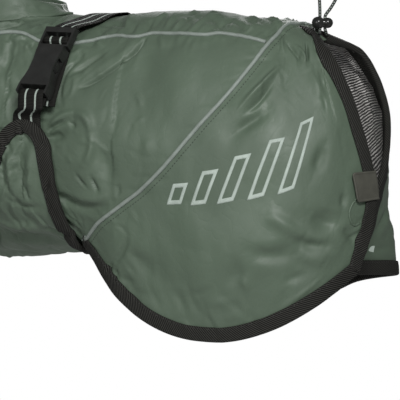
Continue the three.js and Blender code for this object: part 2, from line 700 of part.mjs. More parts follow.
add('back_panel', panel(FORM.left.back, FORM.right.back), 'shell');
add('belly_panel', panel(FORM.left.belly, FORM.left.breast, FORM.right.belly, FORM.right.breast), 'shell');
add('collar', wall(SIDES.map(({ side }) => collarSpots(side)), 0, -CLOTH_WALL), 'shell');
for (const { label } of SIDES) {
  const form = FORM[label];
  const hind = hindBindingStops(form);
  const tab = tabBindingStops(form);
  add(`side_panel_${label}`, panel(form.side), 'shell');
  add(`hind_panel_${label}`, panel(form.hind), 'shell');
  add(`hind_lining_${label}`, hindLining(form), 'lining');
  add(`hind_binding_${label}`, folded(hind.stops, BINDING_SECTION, hind.edgeFirst), 'binding', 0.8);
  add(`leg_binding_${label}`, folded(legBindingStops(form), BINDING_SECTION, () => true), 'binding', 0.8);
  add(`tab_binding_${label}`, folded(tab.stops, BINDING_SECTION, tab.edgeFirst), 'binding', 0.8);
  add(`back_piping_${label}`, bead(backSpots(form)), 'piping', 0.4);
  add(`thigh_piping_${label}`, bead(thighSpots(form)), 'piping', 0.4);
}

// ---------------------------------------------------------------- the belly strap and its buckle

// The buckle's own axes: x across it, y up it from its lower bar, z out of the coat.
const BUCKLE = new THREE.Matrix4().makeBasis(
  new THREE.Vector3(0.9914, -0.1177, -0.0517), new THREE.Vector3(0.112, 0.587, 0.802),
  new THREE.Vector3(-0.064, -0.801, 0.595),
).setPosition(9.7, -108.0, -69.9);

// Half width of the socket's outline up its length.
const SOCKET_OUTLINE = [
  { y: 0, half: 14.4 }, { y: 1.2, half: 15.1 }, { y: 8, half: 15.0 }, { y: 12, half: 14.4 },
  { y: 17, half: 12.9 }, { y: 24, half: 11.8 }, { y: 34, half: 11.7 }, { y: 44, half: 12.9 },
  { y: 50.1, half: 12.8 },
];
const SOCKET_DEPTH = 11;
const SOCKET_WALL = 1.9;
const SOCKET_CAVITY = { half: 10.1, from: 12, to: 51 };
const SOCKET_WINDOW = { from: 24, to: 38 };
const BAR = { y: 2.2, half: 13.6, thick: 2.8 };           // the lower bar, which the strap goes round
const SLOT_END = 8;
const FRAME = { half: 15.1, from: 50.6, to: 71, depth: 6.4, side: 2.0, rail: 1.9, top: 5.5 };
const FRAME_BAR = { y: 58.5, half: 13.6, thick: 2.6 };
const PRONG = {
  from: 24.6, inner: 6.5, outer: 9.7, caught: 12.1, catchFrom: 25.4, catchTo: 36.4, depth: 5.2,
};
const STRAP_ROOM = WEBBING_WIDTH / 2 + 0.6;

function solidOf(geometry) {
  const bare = geometry.clone();
  bare.deleteAttribute('normal');
  bare.deleteAttribute('uv');
  const merged = mergeVertices(bare);
  const { position } = merged.attributes;
  return new wasm.Manifold(new wasm.Mesh({
    numProp: 3,
    vertProperties: new Float32Array(position.array),
    triVerts: new Uint32Array(merged.index.array),
  }));
}

function geometryOfSolid(solid, placing = new THREE.Matrix4()) {
  const { vertProperties, triVerts } = solid.getMesh();
  const geometry = new THREE.BufferGeometry();
  geometry.setAttribute('position', new THREE.Float32BufferAttribute(vertProperties, 3));
  geometry.setIndex(Array.from(triVerts));
  geometry.applyMatrix4(placing);
  geometry.computeVertexNormals();
  return geometry;
}

function block(x0, x1, y0, y1, z0, z1) {
  const box = new THREE.BoxGeometry(x1 - x0, y1 - y0, z1 - z0);
  return solidOf(box.translate((x0 + x1) / 2, (y0 + y1) / 2, (z0 + z1) / 2));
}

function centred(half, y0, y1, depth) {
  return block(-half, half, y0, y1, -depth / 2, depth / 2);
}

function plate(outline, depth) {
  const shape = new THREE.Shape(outline.map(([x, y]) => new THREE.Vector2(x, y)));
  const extruded = new THREE.ExtrudeGeometry(shape, { depth, bevelEnabled: false });
  return solidOf(extruded.translate(0, 0, -depth / 2));
}

function barAt({ y, half, thick }) {
  return centred(half, y - thick / 2 - 0.2, y + thick / 2 + 0.2, thick);
}

// The socket half: a shell open at its top, with side windows and a slot for the strap.
function buckleSocket() {
  const right = SOCKET_OUTLINE.map(({ y, half }) => [half, y]);
  const left = SOCKET_OUTLINE.map(({ y, half }) => [-half, y]).reverse();
  const { half, from, to } = SOCKET_CAVITY;
  const depth = SOCKET_DEPTH - 2 * SOCKET_WALL;
  return plate([...right, ...left], SOCKET_DEPTH)
    .subtract(centred(half, from, to, depth))
    .subtract(centred(half + 8, SOCKET_WINDOW.from, SOCKET_WINDOW.to, depth - 0.4))
    .subtract(centred(STRAP_ROOM, -1, SLOT_END, SOCKET_DEPTH + 2))
    .add(barAt(BAR));
}

// The prong half: a frame with a bar for the strap, and two prongs caught in the windows.
function bucklePlug() {
  const { half, from, to, depth, side, rail, top } = FRAME;
  let solid = centred(half, from, to, depth)
    .subtract(centred(half - side, from + rail, to - top, depth + 2))
    .add(barAt(FRAME_BAR));
  for (const sign of [-1, 1]) {
    const prong = [
      [PRONG.inner, from + 0.5], [PRONG.inner, PRONG.from], [PRONG.outer, PRONG.from],
      [PRONG.outer, PRONG.catchFrom], [PRONG.caught, PRONG.catchFrom + 2.5],
      [PRONG.caught, PRONG.catchTo - 3],
      [PRONG.outer, PRONG.catchTo], [PRONG.outer, from + 0.5],
    ];
    solid = solid.add(plate(prong.map(([x, y]) => [sign * x, y]), PRONG.depth));
  }
  return solid;
}

// Turns of webbing round a bar, as y and z in the buckle: half a circle about the bar.
function roundBar(centre, radius, from, to, count) {
  return steps(count).map((t) => {
    const angle = THREE.MathUtils.degToRad(from + (to - from) * t);
    return [centre + radius * Math.cos(angle), radius * Math.sin(angle)];
  });
}

const BAR_TURN = 3.45;
const FRAME_TURN = 3.2;

// Up the front of the socket's bar from the tab, through the slot and down behind itself.
const LOWER_STRAP = [
  [-10, -3.4], [-5, 0.4], [-1, 3.0], ...roundBar(BAR.y, BAR_TURN, 90, -90, 6),
  [-1, -3.1], [-4, -3.3], [-7, -4.4],
];
// Down behind the frame's top rail, over its bar and down behind the socket: y, z and shift of x.
const UPPER_STRAP = [
  [76, -4.5, 0], [71, -4.4, 0], [65.3, -4.3, 0], [63.3, -2.9, 0],
  ...roundBar(FRAME_BAR.y, FRAME_TURN, 0, 180, 6).map(([y, z]) => [y, z, 0]),
  [54.9, -1.8, 0], [54.1, -4.1, 0], [52.2, -5.8, 0], [49, -6.5, 0.3], [38, -6.6, 1.6], [26, -6.6, 3.2],
  [12, -6.8, 5.0], [2, -7.4, 6.2], [-4, -8.6, 7],
];
// On the back, from the middle of the back down to where the strap leaves the cloth.
const STRAP_ANCHOR = { station: 37, girth: 0.5, lift: 2.2 };
const LEFT_STRAP = [{ station: 33, girth: 17, lift: 2.2 }, { station: 29, girth: 32, lift: 2.6 }];
const RIGHT_STRAP = [
  { station: 33, girth: 17, lift: 2.2 }, { station: 28, girth: 32, lift: 2.6 },
  { station: 22.5, girth: 46, lift: 3.2 }, { station: 17, girth: 60, lift: 4.0 },
  { station: 12.5, girth: 73, lift: 4.0 }, { station: 9, girth: 89, lift: 3.2 },
  { station: 6, girth: 106, lift: 3.0 }, { station: 4, girth: 124, lift: 3.4 },
];
const STRAP_MITRE = 1.03;       // how much longer the cut along the spine is than the strap is wide
const TAB_TIP = 4;              // the station of the middle of the strap on the tab
const STRAP_EDGES = [-0.5, 0.5];
const TAB_EDGES = [-0.5, -0.25, 0, 0.25, 0.5];
const tabTip = curveOf([...TAB_FRONT.slice(-4), ...TAB_BACK.slice(1, 4)], 'station', 'girth');

function inBuckle(y, z, shift = 0, across = STRAP_EDGES) {
  return across.map((share) => new THREE.Vector3(shift + share * WEBBING_WIDTH, y, z).applyMatrix4(BUCKLE));
}

// Rows across a strap that lies on the cloth. Its first row is mitred along the spine.
function strapRows(path, side, across = STRAP_EDGES) {
  const { station, girth, lift } = STRAP_ANCHOR;
  const mitre = across.map((share) => [station + share * WEBBING_WIDTH * STRAP_MITRE, girth]);
  const rows = path.map((stop, k) => {
    const [before, after] = neighbours([STRAP_ANCHOR, ...path], k + 1);
    const along = [after.station - before.station, after.girth - before.girth];
    const scale = WEBBING_WIDTH / Math.hypot(...along);
    return across.map((share) => [
      stop.station + share * scale * along[1], stop.girth - share * scale * along[0],
    ]);
  });
  const halfway = mitre.map((corner, k) => corner.map((value, axis) => (value + rows[0][k][axis]) / 2));
  const lifts = [lift, lift, ...path.map((stop) => stop.lift)];
  return [mitre, halfway, ...rows].map((row, r) => row.map(([s, g]) => cloth(s, g, side, lifts[r]).point));
}

// Where a strap is sewn into a tab its end follows the tab's binding.
function tabRows(side) {
  const end = TAB_EDGES.map((share) => {
    const station = TAB_TIP + share * WEBBING_WIDTH;
    const slope = tabTip(station + 0.5) - tabTip(station - 0.5);
    return [station, tabTip(station) - (BINDING_TURN + 5 * SEAM_GAP) * Math.hypot(1, slope)];
  });
  const low = end.map(([s, g]) => cloth(s, g, side, TAB_LIFT - CLOTH_WALL / 2).point);
  const high = end.map(([s]) => cloth(s, tabTip(TAB_TIP) - 6, side, TAB_LIFT).point);
  return [low, high];
}

const [tabLow, tabHigh] = tabRows(-1);
const lowerRows = LOWER_STRAP.map(([y, z]) => inBuckle(y, z, 0, TAB_EDGES));
add('strap_lower_left', webbing([tabLow, tabHigh, ...lowerRows]), 'webbing', 0.8);

const upperRows = UPPER_STRAP.map(([y, z, shift]) => inBuckle(y, z, shift));
add('strap_upper_left', webbing([...strapRows(LEFT_STRAP, -1), ...upperRows]), 'webbing', 0.8);

const [rightLow, rightHigh] = tabRows(1);
add('strap_right', webbing([...strapRows(RIGHT_STRAP, 1, TAB_EDGES), rightHigh, rightLow]), 'webbing', 0.8);

add('buckle_socket', geometryOfSolid(buckleSocket(), BUCKLE), 'plastic', 0.35);
add('buckle_plug', geometryOfSolid(bucklePlug(), BUCKLE), 'plastic', 0.35);

// ---------------------------------------------------------------- label, half-round tab, cord and lock

// A rubber label folded over the left flap's rear binding, between two girths.
const LABEL = { from: 184, to: 204, outerReach: 22, innerReach: 12, clear: BINDING_TURN + 0.5, thick: 1.3 };

function rearStop({ hind }, girth) {
  const rear = hind[0].length - 1;
  const k = HIND_GIRTHS.findLastIndex((row) => row <= girth);
  const [above, below] = [k, k + 1].map((row) => ({ edge: hind[row][rear], inner: hind[row][rear - 1] }));
  return stopBetween(above, below, (girth - HIND_GIRTHS[k]) / (HIND_GIRTHS[k + 1] - HIND_GIRTHS[k]));
}

function labelTab() {
  const rows = HIND_GIRTHS.filter((girth) => girth > LABEL.from && girth < LABEL.to);
  const stops = [LABEL.from, ...rows, LABEL.to].map((girth) => rearStop(FORM.left, girth));
  const section = foldedSection(LABEL.outerReach, LABEL.innerReach, LABEL.clear, LABEL.thick);
  return folded(stops, section, () => true);
}

// A pale half-round tab on the right flap's outer face, with its straight side to the binding.
const HALF_ROUND = { station: 288.2, girth: 250, radius: 7, thick: 1, lift: -0.2 };

function halfRoundTab() {
  const { station, girth, radius, thick, lift } = HALF_ROUND;
  const { point, normal } = cloth(station, girth, 1, lift);
  const down = cloth(station, girth + radius, 1, lift).point.sub(point);
  const forward = down.clone().cross(normal).normalize();
  const across = normal.clone().cross(forward);
  const basis = new THREE.Matrix4().makeBasis(forward, across, normal).setPosition(point);
  const shape = new THREE.Shape().absarc(0, 0, radius, -Math.PI / 2, Math.PI / 2, false);
  const solid = new THREE.ExtrudeGeometry(shape, { depth: thick, bevelEnabled: false, curveSegments: 10 });
  return geometryOfSolid(solidOf(solid), basis);
}

// The lock is two balls side by side, with two holes for the cord. Its x axis is along the balls.
const LOCK = new THREE.Matrix4().makeBasis(
  new THREE.Vector3(0.927, 0.375, 0), new THREE.Vector3(-0.375, 0.927, 0), new THREE.Vector3(0, 0, 1),
).setPosition(231.2, 0, -8);
const LOCK_BALLS = [{ x: -3.6, radius: 5.5 }, { x: 4.4, radius: 4.6 }];
const LOCK_NECK = 3.9;
const LOCK_HOLES = [-2.2, 2.2];
const LOCK_BORE = CORD_DIAMETER / 2 + 0.4;

function cordLock() {
  const balls = LOCK_BALLS.map(({ x, radius }) => new THREE.SphereGeometry(radius, 16, 10).translate(x, 0, 0));
  const [front, rear] = LOCK_BALLS.map(({ x }) => x);
  const neck = new THREE.CylinderGeometry(LOCK_NECK, LOCK_NECK, rear - front, 16).rotateZ(Math.PI / 2);
  let solid = solidOf(neck.translate((front + rear) / 2, 0, 0));
  for (const ball of balls) solid = solid.add(solidOf(ball));
  for (const x of LOCK_HOLES) {
    const hole = new THREE.CylinderGeometry(LOCK_BORE, LOCK_BORE, 16, 12);
    solid = solid.subtract(solidOf(hole.rotateX(Math.PI / 2).translate(x, 0, 0)));
  }
  return geometryOfSolid(solid, LOCK);
}

// The elastic cord: out of the left binding's top, up through the lock, round its standing loop
// and down through the lock again to the right binding's top.
const CORD_ROUTE = [
  [231.2, -6.6, -17.6], [230.2, -4, -16.4], [229.2, -0.9, -13.2], [229.2, -0.8, -8], [229.2, -0.8, -2.5],
  [229.1, -0.9, 5], [228.6, -1, 16], [229, -0.6, 30], [232, 1.5, 41], [238, 4, 44], [243.6, 6, 37],
  [244.4, 5.8, 24], [242, 4.5, 13], [237.6, 2.8, 4.5], [233.6, 1, -1.6], [233.2, 0.8, -4], [233.2, 0.8, -8],
  [233.2, 0.9, -13.2], [233.2, 4, -16.4], [232.6, 6.6, -17.6],
];
const CORD_STEPS = 56;

function elasticCord() {
  const spots = CORD_ROUTE.map((point) => new THREE.Vector3(...point));
  const route = new THREE.CatmullRomCurve3(spots, false, 'centripetal');
  const section = new THREE.Shape(steps(8).slice(1).map((t) => new THREE.Vector2(
    CORD_DIAMETER / 2 * Math.cos(2 * Math.PI * t), CORD_DIAMETER / 2 * Math.sin(2 * Math.PI * t),
  )));
  return new THREE.ExtrudeGeometry(section, { steps: CORD_STEPS, extrudePath: route, bevelEnabled: false });
}

add('label_tab', labelTab(), 'rubber', 0.7);
add('half_round_tab', halfRoundTab(), 'piping', 0.4);
add('cord_lock', cordLock(), 'plastic', 0.25);
add('elastic_cord', geometryOfSolid(solidOf(elasticCord())), 'cord', 0.8);

export default group;
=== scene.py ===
"""Looks of a worn winter coat for a small dog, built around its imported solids.

The cloth is drawn in its own coordinates, in millimetres: a station along the coat from the
chest to the tail, and a girth down from the spine, below 0 on the wearer's left.
"""

import functools
import math

import bpy
import numpy as np
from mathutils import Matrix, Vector


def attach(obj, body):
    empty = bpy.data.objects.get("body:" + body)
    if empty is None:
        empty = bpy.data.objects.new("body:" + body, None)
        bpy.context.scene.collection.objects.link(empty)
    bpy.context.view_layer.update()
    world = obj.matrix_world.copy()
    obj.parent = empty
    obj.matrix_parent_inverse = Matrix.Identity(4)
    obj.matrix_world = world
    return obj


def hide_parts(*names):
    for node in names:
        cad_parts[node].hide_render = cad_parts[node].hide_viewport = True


bl_info = {
    "name": "Dog winter coat",
    "version": (1, 0, 0),
    "blender": (4, 5, 0),
    "location": "3D View > Sidebar > Coat",
    "description": "Builds the cloth, trims and fittings of a dog's winter coat",
    "category": "Object",
}

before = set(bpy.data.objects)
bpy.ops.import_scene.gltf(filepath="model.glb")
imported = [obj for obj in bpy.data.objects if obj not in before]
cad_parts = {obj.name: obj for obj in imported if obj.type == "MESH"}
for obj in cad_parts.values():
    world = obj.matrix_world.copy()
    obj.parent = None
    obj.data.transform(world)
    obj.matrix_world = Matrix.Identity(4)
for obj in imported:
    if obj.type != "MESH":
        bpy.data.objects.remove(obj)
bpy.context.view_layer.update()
MM = 0.001
TINY = 1e-12
TAU = 2 * math.pi

# ---------------------------------------------------------------- the cloth's form

CLOTH_WALL = 2.0
LINING_SHEET = 0.6
SEAM_GAP = 0.3
BINDING_REACH = 11.0
BINDING_CLEAR = 0.8
BINDING_CLOTH = 1.0
BINDING_TURN = BINDING_CLEAR + BINDING_CLOTH
TAB_LIFT = 5.4
TAB_LIFT_FROM, TAB_LIFT_TO = -112, -54
WEBBING_WIDTH = 25.0
WEBBING_THICK = 1.3
CORD_DIAMETER = 2.8

GIRTHS = np.array([0, 65, 145, 205, 265, 315, 365], float)
HEM_LEVEL = 4
HEM_GIRTH = 265.0
BELLY_GIRTH = 365.0
FRONT_STATION = -178.0
NECK_STATION = -2
CHEST_STATION = -125.0
TAIL_STATION = 302.0
MEETING_STATION = 206.0
CROWN = 1.35
CENTRE_REACH = 3.0
# Between these stations the panels come to hang straight down to the hem.
HANG_FROM, HANG_TO = 30, 75
# Points this near the middle plane lie on it. A girth just off it belongs to one side.
ON_MIDDLE, NEAR_MIDDLE, OFF_MIDDLE = 0.01, 0.02, 1e-6

# Station of each rib, and its points down the cloth: x, distance out and z.
RIBS = (
    (-178, ((-128, 0, -30), (-136, 0, -48), (-143, 0, -95), (-139, 0, -143),
            (-122, 0, -180), (-104, 0, -200), (-88, 0, -209))),
    (-125, ((-113, 38, -20), (-121, 49, -34), (-125, 55, -92), (-120, 53, -136),
            (-107, 38, -168), (-96, 20, -194), (-82, 0, -210))),
    (-76, ((-72, 55, -8), (-74, 67, -20), (-77, 82, -92), (-78, 82, -128),
           (-78, 76, -150), (-75, 40, -198), (-70, 0, -211))),
    (-45, ((-38, 46, -4), (-43, 65, -15), (-46, 91, -92), (-47, 91, -130),
           (-48, 82, -162), (-48, 48, -198), (-48, 0, -211))),
    (-22, ((-14, 24, -1), (-23, 64, -17), (-26, 94, -92), (-27, 94, -130),
           (-27, 85, -165), (-27, 50, -198), (-27, 0, -209))),
    (-2, ((-5, 0, 2), (-6, 63, -23), (-7, 95, -92), (-7, 95, -130),
          (-7, 85, -168), (-7, 50, -198), (-7, 0, -206))),
    (35, ((35, 0, 0), (35, 61, -25), (35, 98, -95), (35, 96, -145),
          (35, 76, -190), (35, 46, -201), (35, 0, -205))),
    (80, ((78, 0, 3), (79, 60, -20), (80, 100, -98), (80, 100, -168),
          (80, 93, -238), (80, 48, -212), (80, 0, -210))),
    (130, ((127, 0, 3), (129, 60, -19), (130, 101, -102), (130, 103, -185),
           (128, 98, -266))),
    (176, ((172, 0, -3), (177, 58, -20), (179, 99, -105), (177, 103, -190),
           (172, 97, -271.5))),
    (222, ((204, 0, -6), (212, 50, -24), (225, 88, -105), (227, 94, -185),
           (216, 91, -261.5))),
    (266, ((219, 3, -10), (237, 44, -29), (259, 66, -95), (268, 68, -170),
           (255, 74, -238.5))),
    (302, ((232, 10, -21), (250, 38, -34), (275, 42, -85), (289, 34, -155),
           (279, 48, -215.5))),
)
# The right flap hangs a little higher and curls in behind the thigh.
RIGHT_RIBS = {
    80: ((78, 0, 3), (79, 60, -20), (80, 100, -98), (80, 100, -168), (80, 93, -234),
         (80, 48, -212), (80, 0, -210)),
    130: ((127, 0, 3), (129, 60, -19), (130, 101, -102), (130, 103, -185), (128, 98, -260)),
    176: ((172, 0, -3), (177, 58, -20), (179, 99, -105), (177, 103, -190), (172, 98, -262)),
    222: ((204, 0, -6), (212, 51, -24), (227, 90, -105), (238, 97, -185), (234, 95, -237)),
    266: ((219, 3, -10), (239, 47, -30), (263, 71, -95), (273, 68, -165), (277, 70, -227)),
    302: ((232, 10, -21), (255, 45, -34), (278, 46, -98), (272, 29, -155), (252, 4, -222)),
}

# Soft ridges and troughs that the solids have too: side, from, to, width, rise.
FOLDS = (
    (0, (217, 95), (187, 124), 9, 2.2), (0, (208, 124), (183, 143), 8, -2.0),
    (-1, (84, 80), (48, 108), 7, -2.2), (1, (70, 76), (40, 112), 8, -2.0),
    (0, (52, 142), (50, 172), 16, 3.0), (0, (120, 232), (92, 250), 12, -2.2),
    (0, (205, 205), (165, 215), 22, 2.6), (0, (262, 205), (245, 228), 13, -2.4),
)

BACK_SEAM = ((-125, 65), (-47, 65), (-25, 63), (-2, 66), (20, 68), (39, 64), (60, 60),
             (84, 65), (100, 61), (144, 66), (162, 63), (206, 70))
BACK_SEAM_END = 70.0
# Girth, then station.
THIGH_SEAM = ((0, 252), (20, 242), (35, 227), (60, 214), (80, 202), (105, 185), (137, 156),
              (161, 133), (180, 110), (197, 88), (218, 67), (240, 52), (265, 40))
TAB_FRONT = ((-125, 268), (-100, 305), (-76, 316), (-60, 308), (-50, 280), (-43, 245),
             (-35, 205), (-24, 169), (-14, 153), (-4, 146), (4, 144))
TAB_BACK = ((4, 144), (11, 148), (19, 160), (24, 184), (27, 217), (30, 242), (36, 266),
            (40, 310), (38, 365))
# Station along the neck seam, then x, distance out and z of the collar's free edge.
COLLAR_EDGE = ((-178, -123, 0, 8), (-150, -118, 24, 11), (-125, -105, 38, 16),
               (-76, -68, 48, 22), (-45, -38, 41, 16), (-22, -25, 26, 12), (-2, -18, 0, 10))


def slopes(knots, values):
    """Slopes at the knots of a curve that never overshoots its values."""
    width = np.diff(knots).reshape(-1, *[1] * (values.ndim - 1))
    slope = np.diff(values, axis=0) / width
    before, after = slope[:-1], slope[1:]
    mean = (after * width[:-1] + before * width[1:]) / (width[:-1] + width[1:])
    return np.concatenate([slope[:1], np.where(before * after <= 0, 0, mean), slope[-1:]])


def hermite(knots, values, tangents, at, each=False):
    """The curve at those places. With each, every place has a curve of its own."""
    i = np.clip(np.searchsorted(knots, at) - 1, 0, len(knots) - 2)
    own = (np.arange(len(at)),) if each else ()
    v0, v1, t0, t1 = (table[(k, *own)] for table in (values, tangents) for k in (i, i + 1))
    shape = (-1,) + (1,) * (v0.ndim - 1)
    span = (knots[i + 1] - knots[i]).reshape(shape)
    s = (at - knots[i]).reshape(shape) / span
    rise = s * s * (3 - 2 * s)
    return (1 - rise) * v0 + rise * v1 + s * (1 - s) ** 2 * span * t0 - s * s * (1 - s) * span * t1


def curve(rows, column=1):
    """A smooth curve through rows of a knot and its values, for one of their columns."""
    table = np.array(rows, float)
    knots, values = table[:, 0], table[:, column]
    tangents = slopes(knots, values)

    def at(place):
        place = np.clip(np.asarray(place, float), knots[0], knots[-1])
        return hermite(knots, values, tangents, place.ravel()).reshape(place.shape)

    return at


def travelled(points, power=1):
    """How far along a line each of its points lies. A power below 1 evens its steps out."""
    steps = np.linalg.norm(np.diff(points, axis=0), axis=1)
    return np.concatenate([[0], np.cumsum(steps ** power)])


def line_of(rows):
    """A line through rows of station and girth, for 0 at its start to 1 at its end."""
    table = np.array(rows, float)
    at = travelled(table)
    at /= at[-1]
    station, girth = (curve(np.column_stack([at, table[:, k]])) for k in (0, 1))
    return lambda share: np.stack([station(share), girth(share)], -1)


def smooth(low, high, at):
    """A soft step from 0 at low to 1 at high."""
    s = np.clip((np.asarray(at, float) - low) / (high - low), 0, 1)
    return s * s * (3 - 2 * s)


def rib_table(side):
    """The ribs of one side. A rib that ends at the hem is carried on level under the coat."""
    rows = []
    for station, points in RIBS:
        points = RIGHT_RIBS.get(station, points) if side > 0 else points
        hem = points[HEM_LEVEL]
        rows.append([*points, *[(hem[0], hem[1] / 2, hem[2])] * (len(GIRTHS) - len(points))])
    return np.array(rows, float)


STATIONS = np.array([row[0] for row in RIBS], float)
RIB_POINTS = {side: rib_table(side) for side in (-1, 1)}
RIB_SLOPES = {side: slopes(STATIONS, table) for side, table in RIB_POINTS.items()}


def one_side(station, girth, side):
    """Points of one half of the form, for stations and girths down from the spine."""
    ribs = np.moveaxis(hermite(STATIONS, RIB_POINTS[side], RIB_SLOPES[side], station), 1, 0)
    tangents = slopes(GIRTHS, ribs)
    on_centre = np.clip(1 - np.abs(ribs[0, :, 1:2]) / CENTRE_REACH, 0, 1)
    level = np.zeros_like(tangents[0])
    level[:, 1] = CROWN * (ribs[1, :, 1] - ribs[0, :, 1]) / (GIRTHS[1] - GIRTHS[0])
    tangents[0] = tangents[0] * (1 - on_centre) + level * on_centre
    hanging = smooth(HANG_FROM, HANG_TO, station)[:, None]
    drop = GIRTHS[HEM_LEVEL] - GIRTHS[HEM_LEVEL - 1]
    straight = (ribs[HEM_LEVEL] - ribs[HEM_LEVEL - 1]) / drop
    tangents[HEM_LEVEL] = tangents[HEM_LEVEL] * (1 - hanging) + straight * hanging
    tangents[-1] = 0
    tangents[-1, :, 1] = (ribs[-1, :, 1] - ribs[-2, :, 1]) / (GIRTHS[-1] - GIRTHS[-2])
    point = hermite(GIRTHS, ribs, tangents, girth, each=True)
    point[:, 1] *= side
    return point


def form(at):
    """Points of the coat's smooth form, for places of station and signed girth."""
    at = np.asarray(at, float)
    flat = at.reshape(-1, 2)
    points = np.empty((len(flat), 3))
    for side in (-1, 1):
        mine = flat[:, 1] > 0 if side > 0 else flat[:, 1] <= 0
        if mine.any():
            points[mine] = one_side(flat[mine, 0], np.abs(flat[mine, 1]), side)
    return points.reshape(*at.shape[:-1], 3)


def jacobian(at):
    """How the form moves for a millimetre of station, and for one of signed girth."""
    at = np.asarray(at, float)
    out = []
    for axis in (0, 1):
        low, high = at.copy(), at.copy()
        low[..., axis] -= 1
        high[..., axis] += 1
        if axis == 0:
            low[..., 0] = np.maximum(low[..., 0], FRONT_STATION)
            high[..., 0] = np.minimum(high[..., 0], TAIL_STATION)
        else:
            left = at[..., 1] <= 0
            low[..., 1] = np.clip(low[..., 1], np.where(left, -BELLY_GIRTH, 0), BELLY_GIRTH)
            high[..., 1] = np.clip(high[..., 1], -BELLY_GIRTH, np.where(left, 0, BELLY_GIRTH))
        width = (high - low)[..., axis][..., None]
        out.append((form(high) - form(low)) / width)
    return out


def unit(vectors):
    return vectors / np.maximum(np.linalg.norm(vectors, axis=-1, keepdims=True), TINY)


def form_normal(at):
    along, down = jacobian(at)
    normal = np.cross(along, down)
    centre = np.abs(form(at)[..., 1]) < ON_MIDDLE
    normal[centre, 1] = 0
    return unit(normal)


# ---------------------------------------------------------------- creases

class Noise:
    """Smooth noise on the cloth, the same on every run."""

    def __init__(self, seed, size=97):
        self.size = size
        self.table = np.random.default_rng(seed).uniform(-1, 1, (size, size))

    def at(self, u, v):
        i, j = np.floor(u).astype(int), np.floor(v).astype(int)
        a, b = u - i, v - j
        a, b = a * a * (3 - 2 * a), b * b * (3 - 2 * b)
        n, t = self.size, self.table
        low, high = (
            t[i % n, row % n] * (1 - a) + t[(i + 1) % n, row % n] * a for row in (j, j + 1)
        )
        return low * (1 - b) + high * b


# Creases placed on the panels: from, to, how far the middle bows out to its left, width,
# rise and step. Rise is a ridge above 0 and a trough below; step is a fold with one high side.
PANEL_CREASES = (
    ((34, 100), (59, 82), -1, 2.8, -1.6, 0.9), ((94, 65), (81, 89), -2, 1.8, -2.3, 1.3),
    ((82, 88), (45, 110), -2, 1.7, -2.5, 1.5), ((88, 67), (51, 97), -6, 5, 1.6, 0),
    ((35, 86), (28, 106), 3, 1.8, -1.5, 0.8), ((28, 104), (31, 127), 2, 1.6, -1.1, 0.6),
    ((17, 163), (33, 153), 1, 4.2, -3.2, 0), ((19, 157), (36, 141), -2, 2.2, -1.8, 0.9),
    ((22, 152), (45, 132), -6, 3.6, 1.7, 0.6), ((44, 132), (62, 150), -6, 3.6, 1.7, 0.8),
    ((62, 149), (55, 178), -4, 3.6, 1.5, 0.9), ((39, 141), (46, 147), 0, 1.4, -1.3, 0.5),
    ((97, 116), (106, 127), -1, 2, 0.7, 0.6), ((96, 76), (109, 116), 0, 10, -1.2, 0),
    ((125, 76), (138, 145), -3, 16, 1.3, 0), ((59, 186), (66, 196), 0, 1.5, -1.8, 0.8),
    ((45, 189), (54, 197), 1, 1.5, -1.3, 0.6), ((84, 183), (84, 192), -1, 1.5, -1.1, 0.5),
    ((74, 161), (76, 184), 0, 8, -1.5, 0), ((113, 148), (114, 161), 0, 5, 0.9, 0),
    ((26, 232), (41, 220), -3, 4.2, -2.8, 0), ((37, 225), (79, 199), 2, 4.6, -2, 0.9),
    ((39, 215), (79, 192), 2, 4.6, 1.3, 0), ((25, 248), (46, 247), 8, 3.6, -1.8, 0.9),
    ((93, 216), (75, 244), -2, 1.9, -1.6, 0.9), ((76, 242), (69, 257), 0, 1.7, -1.2, 0.5),
    ((78, 244), (79, 255), -1, 1.6, -1.1, 0.4), ((92, 230), (119, 229), 0, 7, -1.8, 0),
    ((151, 182), (153, 211), -1, 14, 1.2, 0), ((219, 94), (188, 123), 0, 2.6, 2, -1.3),
    ((213, 108), (192, 127), -1, 2.2, -1.5, 0.8), ((207, 128), (186, 139), 1, 3.6, -1.9, 0.8),
    ((228, 67), (245, 85), -1, 2.2, -1.5, 0.7), ((242, 68), (255, 86), -2, 2.2, 1.1, 0.6),
    ((256, 63), (253, 88), -1, 2.2, -1.8, 0.8), ((257, 94), (262, 123), -1, 6, 1.3, 0),
    ((258, 157), (248, 170), 0, 5, -1.7, 0.6), ((210, 187), (242, 209), -1, 4, 1.8, 0.8),
    ((240, 207), (261, 217), 1, 4, 1.5, 0.4), ((244, 197), (265, 210), 1, 4, -1.8, 0.8),
    ((201, 212), (231, 219), 0, 5, -2, 0.6), ((230, 209), (258, 222), 0, 3.5, -1.8, 0.6),
    ((240, 221), (261, 234), 0, 4, 1.4, 0), ((183, 224), (198, 223), 1, 6, -1.2, 0),
    ((271, 215), (288, 234), -1, 3, -1.6, 0.6), ((271, 190), (271, 199), 0, 2.6, -1.2, 0.4),
    ((-60, 84), (-12, 104), 6, 9.0, 1.8, 0.0), ((-52, 110), (-18, 88), 4, 7.0, -1.6, 0.5),
    ((-30, 70), (-24, 120), 3, 5.0, -1.6, 0.6), ((-72, 120), (-34, 132), 5, 10, 1.8, 0.0),
    ((-104, 92), (-66, 96), 5, 9.0, -1.8, 0.4), ((-110, 130), (-80, 168), 6, 9.0, 1.8, 0.0),
    ((-96, 180), (-62, 220), -5, 8.0, -1.8, 0.5), ((-118, 200), (-88, 236), 4, 7.0, 1.6, 0.0),
)
